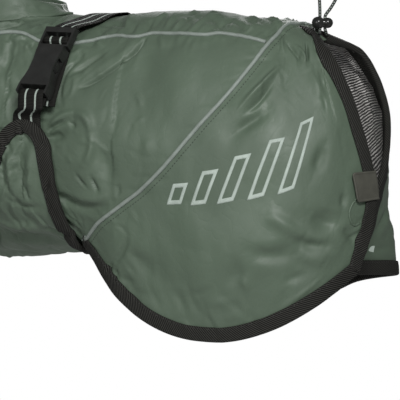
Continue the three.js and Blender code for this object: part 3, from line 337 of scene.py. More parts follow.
# Creases along the back, above its two seams.
BACK_CREASES = (
    ((91, 36), (93, 61), 1, 2, -1.4, 0.8), ((170, 13), (189, 34), -4, 2.4, 1.5, 0.6),
    ((193, 10), (218, 38), -2, 2.2, 1.5, 0.7), ((144, 35), (158, 57), -2, 2.4, -1.4, 0.7),
    ((161, 33), (179, 57), -2, 2.6, -1.4, 0.7), ((122, 33), (117, 60), -2, 2.6, 1.4, 0.7),
    ((40, 37), (72, 54), -6, 2.6, -1.4, 0.8), ((-46, 65), (-33, 41), -1, 2.6, -1.6, 0.9),
    ((-32, 75), (-9, 64), -2, 2.6, 1.5, 0.7), ((-18, 54), (-13, 16), -5, 2.6, -1.5, 0.8),
    ((-35, 28), (-24, 0), -9, 2.4, 1.4, 0.7),
    ((-6, 52), (2, 12), 3, 4.0, -1.8, 0.8), ((2, 60), (14, 26), -3, 3.6, 1.4, 0.5),
    ((66, 52), (60, 14), 4, 4.5, 1.4, 0.6), ((104, 60), (108, 16), 3, 3.0, 1.2, 0.7),
    ((132, 62), (140, 12), 3, 3.0, 1.3, 0.8), ((150, 60), (164, 18), 3, 2.6, -1.4, 0.8),
    ((176, 60), (190, 40), 2, 2.6, 1.3, 0.7), ((200, 66), (222, 30), 2, 2.6, -1.3, 0.6),
    ((212, 56), (236, 20), 2, 3.0, 1.1, 0.5), ((-56, 56), (-34, 34), -3, 3.6, 1.6, 0.6),
    ((-70, 54), (-48, 22), 3, 3.2, -1.3, 0.6), ((-88, 60), (-66, 18), 3, 4.0, 1.4, 0.6),
    ((-108, 56), (-92, 16), 2, 4.0, -1.3, 0.5),
)
# Creases of the belly panel and its tabs.
BELLY_CREASES = (
    ((-12, 180), (-11, 240), -1, 3.4, 1.9, 0), ((9, 178), (4, 238), -1, 3.8, 1.9, 0),
    ((-1, 183), (-2, 241), 0, 3.8, -2, 0), ((1, 229), (3, 246), 0, 1.5, -1.4, 0.6),
    ((-23, 183), (-18, 244), -1, 3, -1.4, 0.4), ((-42, 295), (22, 286), 10, 5, -1.6, 0.6),
    ((4, 280), (39, 251), 7, 3, -1.4, 0.7), ((-36, 282), (9, 273), 8, 4, 1.4, 0.4),
    ((-17, 250), (13, 246), 10, 3.2, -1.2, 0.6),
    ((32, 290), (-44, 300), -6, 6.0, -1.6, 0.6), ((36, 312), (-30, 336), -5, 6.0, 1.4, 0.0),
    ((-60, 330), (20, 346), 6, 7.0, -1.4, 0.4), ((-92, 326), (-50, 350), 4, 7.0, 1.3, 0.0),
    ((-140, 60), (-136, 150), 8, 10, 1.6, 0.0), ((-150, 120), (-130, 220), -8, 9.0, -1.6, 0.4),
    ((-160, 180), (-128, 260), 6, 8.0, 1.5, 0.0), ((-128, 270), (-96, 330), 5, 7.0, -1.3, 0.4),
)
# Small crinkles strewn over part of the cloth: stations, girths, how many, direction in degrees
# and its spread, longest length, widest width and highest rise.
CRINKLES = (
    ((-120, 230), (4, 62), 120, 75, 35, 26, 3.4, 1.0),
    ((-120, 60), (66, 100), 40, 60, 50, 22, 3.6, 0.8),
    ((20, 100), (70, 130), 18, 120, 30, 26, 2.6, 0.4),
    ((20, 110), (130, 250), 44, 60, 70, 20, 3.0, 0.45),
    ((200, 292), (40, 120), 30, 80, 50, 22, 3.2, 0.5),
    ((180, 292), (180, 255), 30, 25, 40, 30, 3.8, 0.5),
    ((60, 200), (225, 258), 24, 20, 50, 30, 4.0, 0.7),
    ((-120, 0), (100, 260), 60, 60, 60, 30, 4.0, 0.9),
)
BELLY_CRINKLES = (
    ((-40, 28), (150, 300), 60, 85, 25, 34, 2.8, 0.9),
    ((-175, 30), (20, 360), 90, 70, 60, 30, 4.0, 0.8),
)


def strewn(areas, seed):
    """Small crinkles at random over the areas, the same on every run."""
    random = np.random.default_rng(seed)
    rows = []
    for stations, girths, count, angle, spread, length, width, rise in areas:
        for _ in range(count):
            start = np.array([random.uniform(*stations), random.uniform(*girths)])
            turn = math.radians(angle + random.uniform(-spread, spread))
            reach = random.uniform(0.35, 1) * length
            end = start + reach * np.array([math.cos(turn), math.sin(turn)])
            rows.append((
                tuple(start), tuple(end), random.uniform(-0.15, 0.15) * reach,
                random.uniform(0.45, 1) * width, random.uniform(-1, 1) * rise,
                random.uniform(-0.6, 0.6) * rise,
            ))
    return rows


BEND_POINTS = 7
RISE_SCALE, STEP_SCALE = 2.1, 3.4
DEEPEST = 6.0
# A crease fades out to its ends: the shares of its length that count, and how fast it fades.
FADE_SHARES, FADE_POWER = (0.04, 0.96), 0.7
CREASE_REACH = 3


def from_chord(station, girth, start, chord):
    """For each place: its share along a straight line, and its offset from that line."""
    x, y = station - start[0], girth - start[1]
    share = np.clip((x * chord[0] + y * chord[1]) / (chord @ chord), 0, 1)
    return share, x - share * chord[0], y - share * chord[1]


def crease_rise(station, girth, crease):
    """How far one crease lifts the cloth at these places."""
    start, end, bow, width, rise, step = crease
    start, end = np.array(start, float), np.array(end, float)
    chord = end - start
    left = np.array([-chord[1], chord[0]]) / np.hypot(*chord)
    share = np.linspace(0, 1, BEND_POINTS)
    path = start + share[:, None] * chord + (4 * share * (1 - share) * bow)[:, None] * left
    best = np.full(station.shape, np.inf)
    signed, along = np.zeros(station.shape), np.zeros(station.shape)
    for k, span in enumerate(np.diff(path, axis=0)):
        t, dx, dy = from_chord(station, girth, path[k], span)
        away = dx * dx + dy * dy
        nearer = away < best
        best = np.where(nearer, away, best)
        turn = np.sign(span[0] * dy - span[1] * dx)
        signed = np.where(nearer, turn * np.sqrt(away), signed)
        along = np.where(nearer, (k + t) / (BEND_POINTS - 1), along)
    fade = np.sin(np.pi * np.clip(along, *FADE_SHARES)) ** FADE_POWER
    x = signed / width
    bell = np.exp(-x * x)
    return fade * (RISE_SCALE * rise * bell + STEP_SCALE * step * x * bell)


def creases_of(station, girth, creases):
    """How far all of these creases lift the cloth."""
    total = np.zeros(station.shape)
    for crease in creases:
        (s0, g0), (s1, g1), bow, width = crease[:4]
        margin = CREASE_REACH * width + abs(bow)
        near = ((station > min(s0, s1) - margin) & (station < max(s0, s1) + margin)
                & (girth > min(g0, g1) - margin) & (girth < max(g0, g1) + margin))
        if near.any():
            total[near] += crease_rise(station[near], girth[near], crease)
    return total


def jittered(creases, seed):
    """Like creases for the other side, none of them quite the same."""
    random = np.random.default_rng(seed)
    rows = []
    for start, end, bow, width, rise, step in creases:
        shift = random.uniform(-7, 7, 2)
        turn = random.uniform(-5, 5, 2)
        rows.append((
            tuple(np.array(start) + shift - turn), tuple(np.array(end) + shift + turn),
            bow * random.uniform(0.5, 1.3), width * random.uniform(0.85, 1.3),
            rise * random.uniform(0.7, 1.05), step * random.uniform(0.6, 1.1),
        ))
    return rows


PANEL_SETS = {
    -1: (*PANEL_CREASES, *BACK_CREASES, *strewn(CRINKLES, 11)),
    1: (*jittered((*PANEL_CREASES, *BACK_CREASES), 5), *strewn(CRINKLES, 23)),
}
BELLY_SETS = {
    -1: (*BELLY_CREASES, *strewn(BELLY_CRINKLES, 31)),
    1: (*jittered(BELLY_CREASES, 7), *strewn(BELLY_CRINKLES, 43)),
}
ROLLING, RUMPLE, GATHERS = Noise(3), Noise(17), Noise(29)
# Swells over the whole cloth: noise, rise, pitch along and down it, and start in the noise.
SWELLS = ((ROLLING, 1.1, (34, 30), (9, 40)), (RUMPLE, 0.35, (9, 11), (30, 50)))
# Beside the piped seams, from the bead: how much creases are calmed and how far off, then the
# rise of the gathers, their middle, half width, pitch and row in the noise.
CALM_SHARE, CALM_REACH = 0.85, 5
PUCKER_RISE, PUCKER_AWAY, PUCKER_HALF, PUCKER_PITCH, PUCKER_ROW = 0.7, 5, 4, 3.4, 5.5
# The thigh seam runs at a slant, so this share of a distance in station is the one across it.
THIGH_SLANT = 0.75
NO_SEAM = 1e3

back_seam = curve(BACK_SEAM)
thigh_seam = curve(THIGH_SEAM)


def from_piping(station, girth):
    """About how far these places lie from the back seam and from the thigh seam."""
    from_back = np.where(station < MEETING_STATION, np.abs(girth - back_seam(station)), NO_SEAM)
    return from_back, THIGH_SLANT * np.abs(station - thigh_seam(girth))


def calm(station, girth):
    """How much of a crease is left beside the piped seams, which hold the cloth straight."""
    away = np.minimum(*from_piping(station, girth))
    return 1 - CALM_SHARE * np.exp(-(away / CALM_REACH) ** 2)


def pucker(station, girth):
    """Small gathers beside the piped seams, where the thread draws the cloth in."""
    from_back, from_thigh = from_piping(station, girth)
    across = np.where(from_back < from_thigh, station, girth)
    away = np.minimum(from_back, from_thigh)
    near = np.exp(-((away - PUCKER_AWAY) / PUCKER_HALF) ** 2)
    return PUCKER_RISE * near * GATHERS.at(across / PUCKER_PITCH, PUCKER_ROW)


def rise_of(at, belly=False):
    """How far folds, creases and swells lift the cloth off its smooth form."""
    at = np.asarray(at, float)
    station, signed_girth = at[..., 0], at[..., 1]
    girth = np.abs(signed_girth)
    total = np.zeros(station.shape)
    for side in (-1, 1):
        mine = signed_girth > 0 if side > 0 else signed_girth <= 0
        if not mine.any():
            continue
        s, g = station[mine], girth[mine]
        part = np.zeros(s.shape)
        for which, start, end, width, rise in FOLDS:
            if which in (0, side):
                _, dx, dy = from_chord(s, g, start, np.array(end, float) - start)
                part += rise * np.exp(-(np.hypot(dx, dy) / width) ** 2)
        creases = creases_of(s, g, (BELLY_SETS if belly else PANEL_SETS)[side])
        if not belly:
            creases = creases * calm(s, g)
        total[mine] = part + strength() * DEEPEST * np.tanh(creases / DEEPEST)
    total += strength() * sum(
        rise * noise.at(station / along + first, signed_girth / down + row)
        for noise, rise, (along, down), (first, row) in SWELLS
    )
    if not belly:
        total += strength() * pucker(station, girth)
    return total


def strength():
    return bpy.context.scene.coat_sizes.crease_strength


def tab_lift(station):
    """How far the belly panel rises, so that its tabs lie over the side panels."""
    return TAB_LIFT * smooth(TAB_LIFT_FROM, TAB_LIFT_TO, station)


def cloth(at, lift=0.0, belly=False):
    """Points on the cloth's outer face, raised by lift, and the directions out of it."""
    at = np.asarray(at, float)
    normal = form_normal(at)
    height = rise_of(at, belly) + lift
    if belly:
        height = height + tab_lift(at[..., 0])
    return form(at) + normal * height[..., None], normal


# ---------------------------------------------------------------- meshes

def link(mesh_object):
    bpy.context.scene.collection.objects.link(mesh_object)
    return mesh_object


def coat_piece(name, mesh, slot, replaced=(), look=None):
    """A piece from (points, faces, uv) in millimetres. Its UV map is its place on the cloth, and
    its finish is the one made for the slot unless a look is given."""
    points, faces, uv = mesh
    data = bpy.data.meshes.new(name)
    data.from_pydata((np.asarray(points) * MM).tolist(), [], [list(map(int, f)) for f in faces])
    layer = data.uv_layers.new(name="cloth")
    corners = np.empty(len(data.loops), np.int32)
    data.loops.foreach_get("vertex_index", corners)
    layer.data.foreach_set("uv", (np.asarray(uv)[corners] * MM).astype(np.float32).ravel())
    data.shade_smooth()
    data.validate()
    data.materials.append(material(look or slot))
    piece = link(bpy.data.objects.new(name, data))
    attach(piece, "root")
    if replaced:
        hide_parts(*replaced)
    return piece


def grid_faces(rows, columns, start=0):
    index = start + np.arange(rows * columns).reshape(rows, columns)
    corners = [index[:-1, :-1], index[:-1, 1:], index[1:, 1:], index[1:, :-1]]
    return np.stack(corners, -1).reshape(-1, 4)


WELD_DECIMALS = 2


def wall_mesh(grids, outer, inner):
    """A closed wall on grids of (points, normals, uv), welded where they meet."""
    points, normals, uvs, faces = [], [], [], []
    count = 0
    for grid_points, grid_normals, uv in grids:
        rows, columns = grid_points.shape[:2]
        faces.append(grid_faces(rows, columns, count))
        points.append(grid_points.reshape(-1, 3))
        normals.append(grid_normals.reshape(-1, 3))
        uvs.append(uv.reshape(-1, 2))
        count += rows * columns
    points, normals, uvs = map(np.concatenate, (points, normals, uvs))
    faces = np.concatenate(faces)
    _, first, back = np.unique(
        np.round(points, WELD_DECIMALS), axis=0, return_index=True, return_inverse=True)
    back = back.ravel()
    points, normals, uvs, faces = points[first], normals[first], uvs[first], back[faces]
    total = len(points)
    edges = np.concatenate([faces[:, [k, (k + 1) % 4]] for k in range(4)])
    edges = edges[edges[:, 0] != edges[:, 1]]
    keys = edges[:, 0].astype(np.int64) * total + edges[:, 1]
    turned = edges[:, 1].astype(np.int64) * total + edges[:, 0]
    rim = edges[~np.isin(keys, turned)]
    rim_faces = np.column_stack([rim[:, 1], rim[:, 0], rim[:, 0] + total, rim[:, 1] + total])
    everything = np.concatenate([faces, faces[:, ::-1] + total, rim_faces])
    cleaned = ([v for k, v in enumerate(face) if v != face[k - 1]] for face in everything.tolist())
    kept = [face for face in cleaned if len(face) > 2]
    both = np.concatenate([points + normals * outer, points + normals * inner])
    return both, outward(both, kept), np.concatenate([uvs, uvs])


def cloth_grid(at, lift=0.0, belly=False):
    points, normals = cloth(at, lift, belly)
    return points, normals, np.asarray(at, float)


def outward(points, faces):
    """Faces turned so that they look out of the closed mesh."""
    volume = 0.0
    for face in faces:
        a = points[face[0]]
        for k in range(1, len(face) - 1):
            volume += np.dot(a, np.cross(points[face[k]], points[face[k + 1]]))
    return faces if volume > 0 else [face[::-1] for face in faces]


def tube_mesh(rings, along, around):
    """A closed skin over rings of points (rings, corners, 3), with how far each ring lies along
    it and each corner round it as its UV."""
    count, corners = rings.shape[:2]
    index = np.arange(count * corners).reshape(count, corners)
    ahead = np.roll(index, -1, axis=1)
    faces = np.stack([index[:-1], ahead[:-1], ahead[1:], index[1:]], -1).reshape(-1, 4).tolist()
    faces += [index[0][::-1].tolist(), index[-1].tolist()]
    points = rings.reshape(-1, 3)
    uv = np.stack(np.meshgrid(along, around, indexing="ij"), -1).reshape(-1, 2)
    return points, outward(points, faces), uv


def merged(parts):
    """Several (points, faces, uv) as one."""
    points, faces, uvs, count = [], [], [], 0
    for part_points, part_faces, uv in parts:
        points.append(part_points)
        uvs.append(uv)
        faces += [[v + count for v in face] for face in part_faces]
        count += len(part_points)
    return np.concatenate(points), faces, np.concatenate(uvs)


def resampled(line, pitch):
    """Places along a line of station and girth, about a pitch apart on the cloth."""
    dense = np.asarray(line, float)
    along = travelled(form(dense))
    count = max(2, int(round(along[-1] / pitch)) + 1)
    at = np.linspace(0, along[-1], count)
    return np.column_stack([np.interp(at, along, dense[:, k]) for k in (0, 1)]), at


def across_line(line, toward):
    """For each place of a line: its direction across, for a millimetre of cloth, as station
    and girth, on the side of the sign of toward."""
    tangent = np.gradient(line, axis=0)
    along, down = jacobian(line)
    a, b, c = ((p * q).sum(-1) for p, q in ((along, along), (along, down), (down, down)))
    x, y = -tangent[:, 1] * toward, tangent[:, 0] * toward
    turned = np.column_stack([c * x - b * y, -b * x + a * y]) / (a * c - b * b)[:, None]
    size = np.sqrt(np.maximum((np.column_stack([x, y]) * turned).sum(-1), 1e-9))
    return turned / size[:, None]


def push_in_space(line, inward):
    """A step across a line of the cloth, as a step in space."""
    along, down = jacobian(line)
    return along * inward[:, :1] + down * inward[:, 1:]


def strip(line, section, toward=1, pitch=1.5, belly=False):
    """A trim along a line on the cloth. Its section is (across, height) in millimetres. Where
    across is below 0 it stands straight off the cloth's edge."""
    line, along = resampled(line, pitch)
    inward = across_line(line, toward)
    section = np.asarray(section, float)
    edge, edge_normal = cloth(line, 0.0, belly)
    outside = unit(np.cross(unit(np.gradient(edge, axis=0)), edge_normal))
    sense = np.sign(np.median((outside * push_in_space(line, inward)).sum(-1)))
    rings = np.empty((len(line), len(section), 3))
    for k, (across, height) in enumerate(section):
        if across < 0:
            points, normals = edge + outside * (sense * across), edge_normal
        else:
            points, normals = cloth(line + inward * across, 0.0, belly)
        rings[:, k] = points + normals * height
    return tube_mesh(rings, along, travelled(section))


BINDING_BULGE = 0.25
TURN_POINTS = 13


def binding_section():
    """Tape folded over an edge, round at its turn and soft at its two hems."""
    low, top = -CLOTH_WALL, BINDING_TURN
    middle, radius = low / 2, top - low / 2
    outer = [(BINDING_REACH, BINDING_CLEAR + 0.15), (BINDING_REACH - 0.25, top - 0.1)]
    outer += [(BINDING_REACH - x, top + BINDING_BULGE * math.sin(math.pi * x / BINDING_REACH))
              for x in (1.0, 2.6, 4.6, 6.6, 8.6)]
    turn = [(-math.sin(a) * top, middle + math.cos(a) * radius)
            for a in np.linspace(0, math.pi, TURN_POINTS)]
    inner = [(BINDING_REACH * share, low - top) for share in (0.2, 0.5, 0.8, 0.95)]
    hidden = [(0.5, low - 0.05), (0.3, middle), (0.5, -0.05)]
    return [*outer, *turn, *inner, (BINDING_REACH, low - BINDING_CLEAR - 0.2), *hidden]


STITCH_CORNERS = 6
STITCH_SHARES, STITCH_SWELL = (0, 0.2, 0.8, 1), (0.35, 1, 1, 0.35)
STITCH_PITCH = 0.8
STITCH_FLAT, STITCH_ROUND, STITCH_SUNK = 0.7, 0.25, 0.2


def stitches(line, toward, offset, height, length=2.1, gap=1.1, thick=0.42, belly=False):
    """A row of thread stitches beside a line."""
    line, _ = resampled(line, STITCH_PITCH)
    points, normals = cloth(line + across_line(line, toward) * offset, height, belly)
    far = travelled(points)
    parts = []
    for start in np.arange(gap, far[-1] - length, length + gap):
        at = start + np.array(STITCH_SHARES) * length
        spots, ups = (
            np.column_stack([np.interp(at, far, table[:, k]) for k in range(3)])
            for table in (points, normals)
        )
        parts.append(stitch(spots, unit(ups), thick))
    return parts


def stitch(spots, ups, thick):
    """One stitch along its four spots, thin at its ends and a little sunk in."""
    sideways = np.cross(unit(np.gradient(spots, axis=0)), ups)
    size = np.array(STITCH_SWELL) * thick
    lowered = STITCH_ROUND * size - STITCH_SUNK
    rings = np.stack([
        spots + sideways * (math.cos(a) * size)[:, None]
        + ups * ((STITCH_FLAT * math.sin(a)) * size + lowered)[:, None]
        for a in np.linspace(0, TAU, STITCH_CORNERS, endpoint=False)
    ], 1)
    return tube_mesh(rings, np.zeros(len(spots)), np.zeros(STITCH_CORNERS))


DENSE_STEPS = 60


def spline(rows, pitch):
    """Rows of points (rows, across, 3) along a smooth line, about a pitch apart."""
    middle = rows.mean(axis=1)
    knots = travelled(middle, 0.5)
    tangents = np.gradient(rows, knots, axis=0)
    dense = np.linspace(0, knots[-1], DENSE_STEPS * len(rows))
    line = hermite(knots, middle, np.gradient(middle, knots, axis=0), dense)
    far = travelled(line)
    wanted = np.linspace(0, far[-1], max(2, int(far[-1] / pitch) + 1))
    return hermite(knots, rows, tangents, np.interp(wanted, far, dense)), wanted


# ---------------------------------------------------------------- materials

def node_group(name, inputs, outputs):
    """A shader node group with its sockets, their kinds as their defaults have them; then its
    input sockets, its output sockets and its wires."""
    group = bpy.data.node_groups.new(name, "ShaderNodeTree")
    for label, default in inputs.items():
        kind = {float: "Float", tuple: "Color"}.get(type(default), "Vector")
        socket = group.interface.new_socket(
            name=label, in_out="INPUT", socket_type="NodeSocket" + kind)
        if default is not None:
            socket.default_value = default
    for label, kind in outputs.items():
        group.interface.new_socket(
            name=label, in_out="OUTPUT", socket_type="NodeSocket" + kind)
    source = group.nodes.new("NodeGroupInput")
    target = group.nodes.new("NodeGroupOutput")
    return group, source.outputs, target.inputs, Wires(group)


class Wires:
    """Adds nodes to a tree and joins them."""

    def __init__(self, tree):
        self.tree = tree

    def join(self, source, socket):
        if isinstance(source, bpy.types.NodeSocket):
            self.tree.links.new(source, socket)
        else:
            socket.default_value = source

    def math(self, operation, a, b=0.0, c=0.0):
        node = self.tree.nodes.new("ShaderNodeMath")
        node.operation = operation
        for value, socket in zip((a, b, c), node.inputs):
            self.join(value, socket)
        return node.outputs[0]

    def noise(self, vector, scale, detail=2.0, roughness=0.5):
        node = self.tree.nodes.new("ShaderNodeTexNoise")
        for value, name in ((vector, "Vector"), (scale, "Scale"), (detail, "Detail"),
                            (roughness, "Roughness")):
            self.join(value, node.inputs[name])
        return node.outputs["Fac"]

    def ramp(self, value, low, high, from_low=0.0, from_high=1.0):
        node = self.tree.nodes.new("ShaderNodeMapRange")
        node.interpolation_type = "SMOOTHSTEP"
        for number, name in ((value, "Value"), (from_low, "From Min"), (from_high, "From Max"),
                             (low, "To Min"), (high, "To Max")):
            self.join(number, node.inputs[name])
        return node.outputs[0]

    def mix(self, share, a, b):
        node = self.tree.nodes.new("ShaderNodeMix")
        node.data_type = "RGBA"
        self.join(share, node.inputs[0])
        self.join(a, node.inputs[6])
        self.join(b, node.inputs[7])
        return node.outputs[2]

    def split(self, vector):
        node = self.tree.nodes.new("ShaderNodeSeparateXYZ")
        self.join(vector, node.inputs[0])
        return node.outputs

    def effect(self, name, **values):
        node = self.tree.nodes.new("ShaderNodeGroup")
        node.node_tree = effect(name)
        for label, value in values.items():
            self.join(value, node.inputs[label.replace("_", " ")])
        return node.outputs

    def drift(self, vector, color, high, low, scale):
        """A colour that drifts between two tones of one, and the share of the second."""
        return self.effect("tint", Vector=vector, Tone=tone(color, high),
                           Other_tone=tone(color, low), Scale=scale)

    def cloth_place(self):
        node = self.tree.nodes.new("ShaderNodeUVMap")
        node.uv_map = "cloth"
        return node.outputs["UV"]

    def object_place(self):
        return self.tree.nodes.new("ShaderNodeTexCoord").outputs["Object"]


WAVER_SCALE = 160.0


def ribs_group():
    """Ribs across the cloth at an angle, such as a twill's: their height and a mask."""
    group, given, out, w = node_group("woven_ribs", {
        "Vector": None, "Pitch": 0.001, "Along": 1.0, "Across": 0.0, "Waver": 0.0,
    }, {"Height": "Float", "Mask": "Float"})
    x, y, _ = w.split(given["Vector"])
    waver = w.math("MULTIPLY", w.noise(given["Vector"], WAVER_SCALE), given["Waver"])
    place = w.math("ADD", w.math("MULTIPLY", x, given["Along"]),
                   w.math("MULTIPLY", y, given["Across"]))
    turns = w.math("DIVIDE", place, given["Pitch"])
    wave = w.math("SINE", w.math("MULTIPLY", w.math("ADD", turns, waver), TAU))
    height = w.math("MULTIPLY_ADD", wave, 0.5, 0.5)
    w.join(height, out["Height"])
    w.join(w.ramp(height, 0.0, 1.0, 0.35, 0.85), out["Mask"])
    return group


def weave_group():
    """A plain weave: threads over and under each other, as a height."""
    group, given, out, w = node_group(
        "plain_weave", {"Vector": None, "Pitch": 0.0005}, {"Height": "Float"})
    x, y, _ = w.split(given["Vector"])
    turns = [w.math("MULTIPLY", w.math("DIVIDE", axis, given["Pitch"]), TAU) for axis in (x, y)]
    product = w.math("MULTIPLY", w.math("SINE", turns[0]), w.math("SINE", turns[1]))
    w.join(w.math("MULTIPLY_ADD", product, 0.5, 0.5), out["Height"])
    return group


def tint_group():
    """A colour that drifts between two tones over the surface."""
    group, given, out, w = node_group("drifting_tone", {
        "Vector": None, "Tone": (0.5, 0.5, 0.5, 1), "Other tone": (0.4, 0.4, 0.4, 1),
        "Scale": 20.0,
    }, {"Color": "Color", "Share": "Float"})
    share = w.ramp(w.noise(given["Vector"], given["Scale"], 3.0), 0.0, 1.0, 0.3, 0.7)
    w.join(w.mix(share, given["Tone"], given["Other tone"]), out["Color"])
    w.join(share, out["Share"])
    return group


def rumple_group():
    """Fine soft rumples of thin coated cloth, as a height."""
    group, given, out, w = node_group(
        "fine_rumple", {"Vector": None, "Scale": 60.0}, {"Height": "Float"})
    coarse = w.noise(given["Vector"], given["Scale"], 2.0)
    folded = w.math("ABSOLUTE", w.math("SUBTRACT", coarse, 0.5))
    fine = w.noise(given["Vector"], w.math("MULTIPLY", given["Scale"], 3.1), 3.0, 0.6)
    w.join(w.math("MULTIPLY_ADD", fine, 0.3, w.math("SQRT", folded)), out["Height"])
    return group


def grain_group():
    """A fine moulded grain with slight scuffs, as a height and a roughness."""
    group, given, out, w = node_group("moulded_grain", {
        "Vector": None, "Scale": 1500.0, "Smooth": 0.3, "Rough": 0.45,
    }, {"Height": "Float", "Roughness": "Float"})
    w.join(w.noise(given["Vector"], given["Scale"], 2.0), out["Height"])
    scuff = w.noise(given["Vector"], w.math("MULTIPLY", given["Scale"], 0.12), 4.0, 0.65)
    w.join(w.ramp(scuff, given["Smooth"], given["Rough"], 0.35, 0.7), out["Roughness"])
    return group


EFFECTS = {"ribs": ribs_group, "weave": weave_group, "tint": tint_group,
           "rumple": rumple_group, "grain": grain_group}


@functools.cache
def effect(name):
    return EFFECTS[name]()


def bare_material(name, roughness=0.5, specular=0.5, sheen=0.0):
    """A new material, its Principled shader and its wires."""
    material = bpy.data.materials.new(name)
    material.use_nodes = True
    tree = material.node_tree
    shader = tree.nodes["Principled BSDF"]
    shader.inputs["Roughness"].default_value = roughness
    shader.inputs["Specular IOR Level"].default_value = specular
    shader.inputs["Sheen Weight"].default_value = sheen
    shader.inputs["Sheen Roughness"].default_value = 0.4
    return material, shader, Wires(tree)


def bump(w, shader, height, distance, share):
    node = w.tree.nodes.new("ShaderNodeBump")
    node.inputs["Distance"].default_value = distance
    node.inputs["Strength"].default_value = share
    w.join(height, node.inputs["Height"])
    w.join(node.outputs["Normal"], shader.inputs["Normal"])


def tone(color, factor):
    """A colour made lighter or darker by a factor."""
    return (*(min(1.0, c * factor) for c in color[:3]), 1.0)


def shell_material():
    """Satin coated cloth: a fine weave under soft rumples."""
    color = bpy.context.scene.coat_colours.shell
    material, shader, w = bare_material("shell_satin", 0.5, 0.32, 0.03)
    uv = w.cloth_place()
    tint = w.drift(uv, color, 1.05, 0.93, 22.0)
    weave = w.effect("weave", Vector=uv, Pitch=0.0006)
    rumple = w.effect("rumple", Vector=uv, Scale=70.0)
    # Painted light and shade: the weave's height scales the colour, a little lighter on the raised
    # threads and darker in the dips between them.
    thread = w.ramp(weave["Height"], 0.94, 1.04)
    shaded = w.tree.nodes.new("ShaderNodeVectorMath")
    shaded.operation = "SCALE"
    w.join(tint["Color"], shaded.inputs[0])
    w.join(thread, shaded.inputs["Scale"])
    w.join(shaded.outputs[0], shader.inputs["Base Color"])
    w.join(w.ramp(tint["Share"], 0.46, 0.58), shader.inputs["Roughness"])
    height = w.math("MULTIPLY_ADD", weave["Height"], 0.05, rumple["Height"])
    bump(w, shader, height, 0.0006, 0.55)
    return material


def lining_material():
    """Ribbed lining: ribs that waver, their tops painted pale as painted light and the grooves
    between them painted dark as painted shade.
    """
    color = bpy.context.scene.coat_colours.lining
    material, shader, w = bare_material("ribbed_lining", 0.35, 0.6)
    uv = w.cloth_place()
    ribs = w.effect("ribs", Vector=uv, Pitch=0.0023, Along=0.14, Across=0.99, Waver=0.9)
    rumple = w.effect("rumple", Vector=uv, Scale=90.0)
    # Painted light and shade: the rib crests take a much lighter copy of the colour, the grooves a
    # much darker one.
    w.join(w.mix(ribs["Mask"], tone(color, 0.3), tone(color, 3.6)), shader.inputs["Base Color"])
    height = w.math("MULTIPLY_ADD", rumple["Height"], 2.4, ribs["Height"])
    bump(w, shader, height, 0.0012, 0.9)
    return material


def tape_material():
    """Black twill tape, with slanted ribs whose crests are painted paler than the ground: a painted
    sheen.
    """
    color = bpy.context.scene.coat_colours.tape
    material, shader, w = bare_material("twill_binding", 0.7, 0.12)
    uv = w.cloth_place()
    ribs = w.effect("ribs", Vector=uv, Pitch=0.0016, Along=0.72, Across=0.69, Waver=0.12)
    weave = w.effect("weave", Vector=uv, Pitch=0.0007)
    # Painted sheen: the rib crests take a lighter copy of the black.
    thin = w.ramp(ribs["Mask"], 0.0, 1.0, 0.55, 1.0)
    w.join(w.mix(thin, tone(color, 0.8), tone(color, 5.5)), shader.inputs["Base Color"])
    height = w.math("MULTIPLY_ADD", weave["Height"], 0.25, ribs["Height"])
    bump(w, shader, height, 0.0004, 0.9)
    return material


STRIPE_MIDDLES = (-5.0 * MM, 5.0 * MM)
STRIPE_EDGE = 0.2 * MM


def webbing_material():
    """Black webbing, ribbed across, with two pale reflective stripes woven in along it; its rib
    crests and the stripes' threads carry a painted sheen.
    """
    colours = bpy.context.scene.coat_colours
    half = bpy.context.scene.coat_sizes.stripe_width / 2
    material, shader, w = bare_material("striped_webbing", 0.7, 0.12)
    uv = w.cloth_place()
    across = w.split(uv)[1]
    ribs = w.effect("ribs", Vector=uv, Pitch=0.0012, Along=1.0, Across=0.0, Waver=0.05)
    weave = w.effect("weave", Vector=uv, Pitch=0.0008)
    stripes = []
    for middle in STRIPE_MIDDLES:
        away = w.math("ABSOLUTE", w.math("SUBTRACT", across, middle))
        stripes.append(w.ramp(away, 1.0, 0.0, half - STRIPE_EDGE, half))
    stripe = w.math("MAXIMUM", *stripes)
    # Painted sheen: the rib crests take a lighter copy of the black.
    black = w.mix(ribs["Mask"], tone(colours.tape, 0.8), tone(colours.tape, 2.0))
    # Painted light and shade: the stripes' raised threads are a little lighter, the dips between
    # them a little darker.
    pale = w.mix(weave["Height"], tone(colours.reflective, 0.9), tone(colours.reflective, 1.15))
    w.join(w.mix(stripe, black, pale), shader.inputs["Base Color"])
    w.join(w.ramp(stripe, 0.62, 0.4), shader.inputs["Roughness"])
    height = w.math("MULTIPLY_ADD", weave["Height"], 0.35, ribs["Height"])
    bump(w, shader, height, 0.00035, 0.9)
    return material


def reflective_material(name, factor=1.0, pitch=0.0011):
    """Pale reflective cloth, its weave just seen."""
    material, shader, w = bare_material(name, 0.45, 0.5)
    uv = w.cloth_place()
    weave = w.effect("weave", Vector=uv, Pitch=pitch)
    color = bpy.context.scene.coat_colours.reflective
    tint = w.drift(uv, color, 1.08 * factor, 0.9 * factor, 120.0)
    w.join(tint["Color"], shader.inputs["Base Color"])
    w.join(w.ramp(weave["Height"], 0.38, 0.55), shader.inputs["Roughness"])
    bump(w, shader, weave["Height"], 0.0002, 0.7)
    return material


def moulded_material(name, color, smooth_rough, scale=1400.0, depth=0.00006):
    """Moulded plastic or rubber with a fine grain and slight scuffs."""
    smoothest, roughest = smooth_rough
    material, shader, w = bare_material(name, smoothest, 0.32)
    where = w.object_place()
    grain = w.effect("grain", Vector=where, Scale=scale, Smooth=smoothest, Rough=roughest)
    w.join(w.drift(where, color, 1.1, 0.85, 90.0)["Color"], shader.inputs["Base Color"])
    w.join(grain["Roughness"], shader.inputs["Roughness"])
    bump(w, shader, grain["Height"], depth, 0.6)
    return material


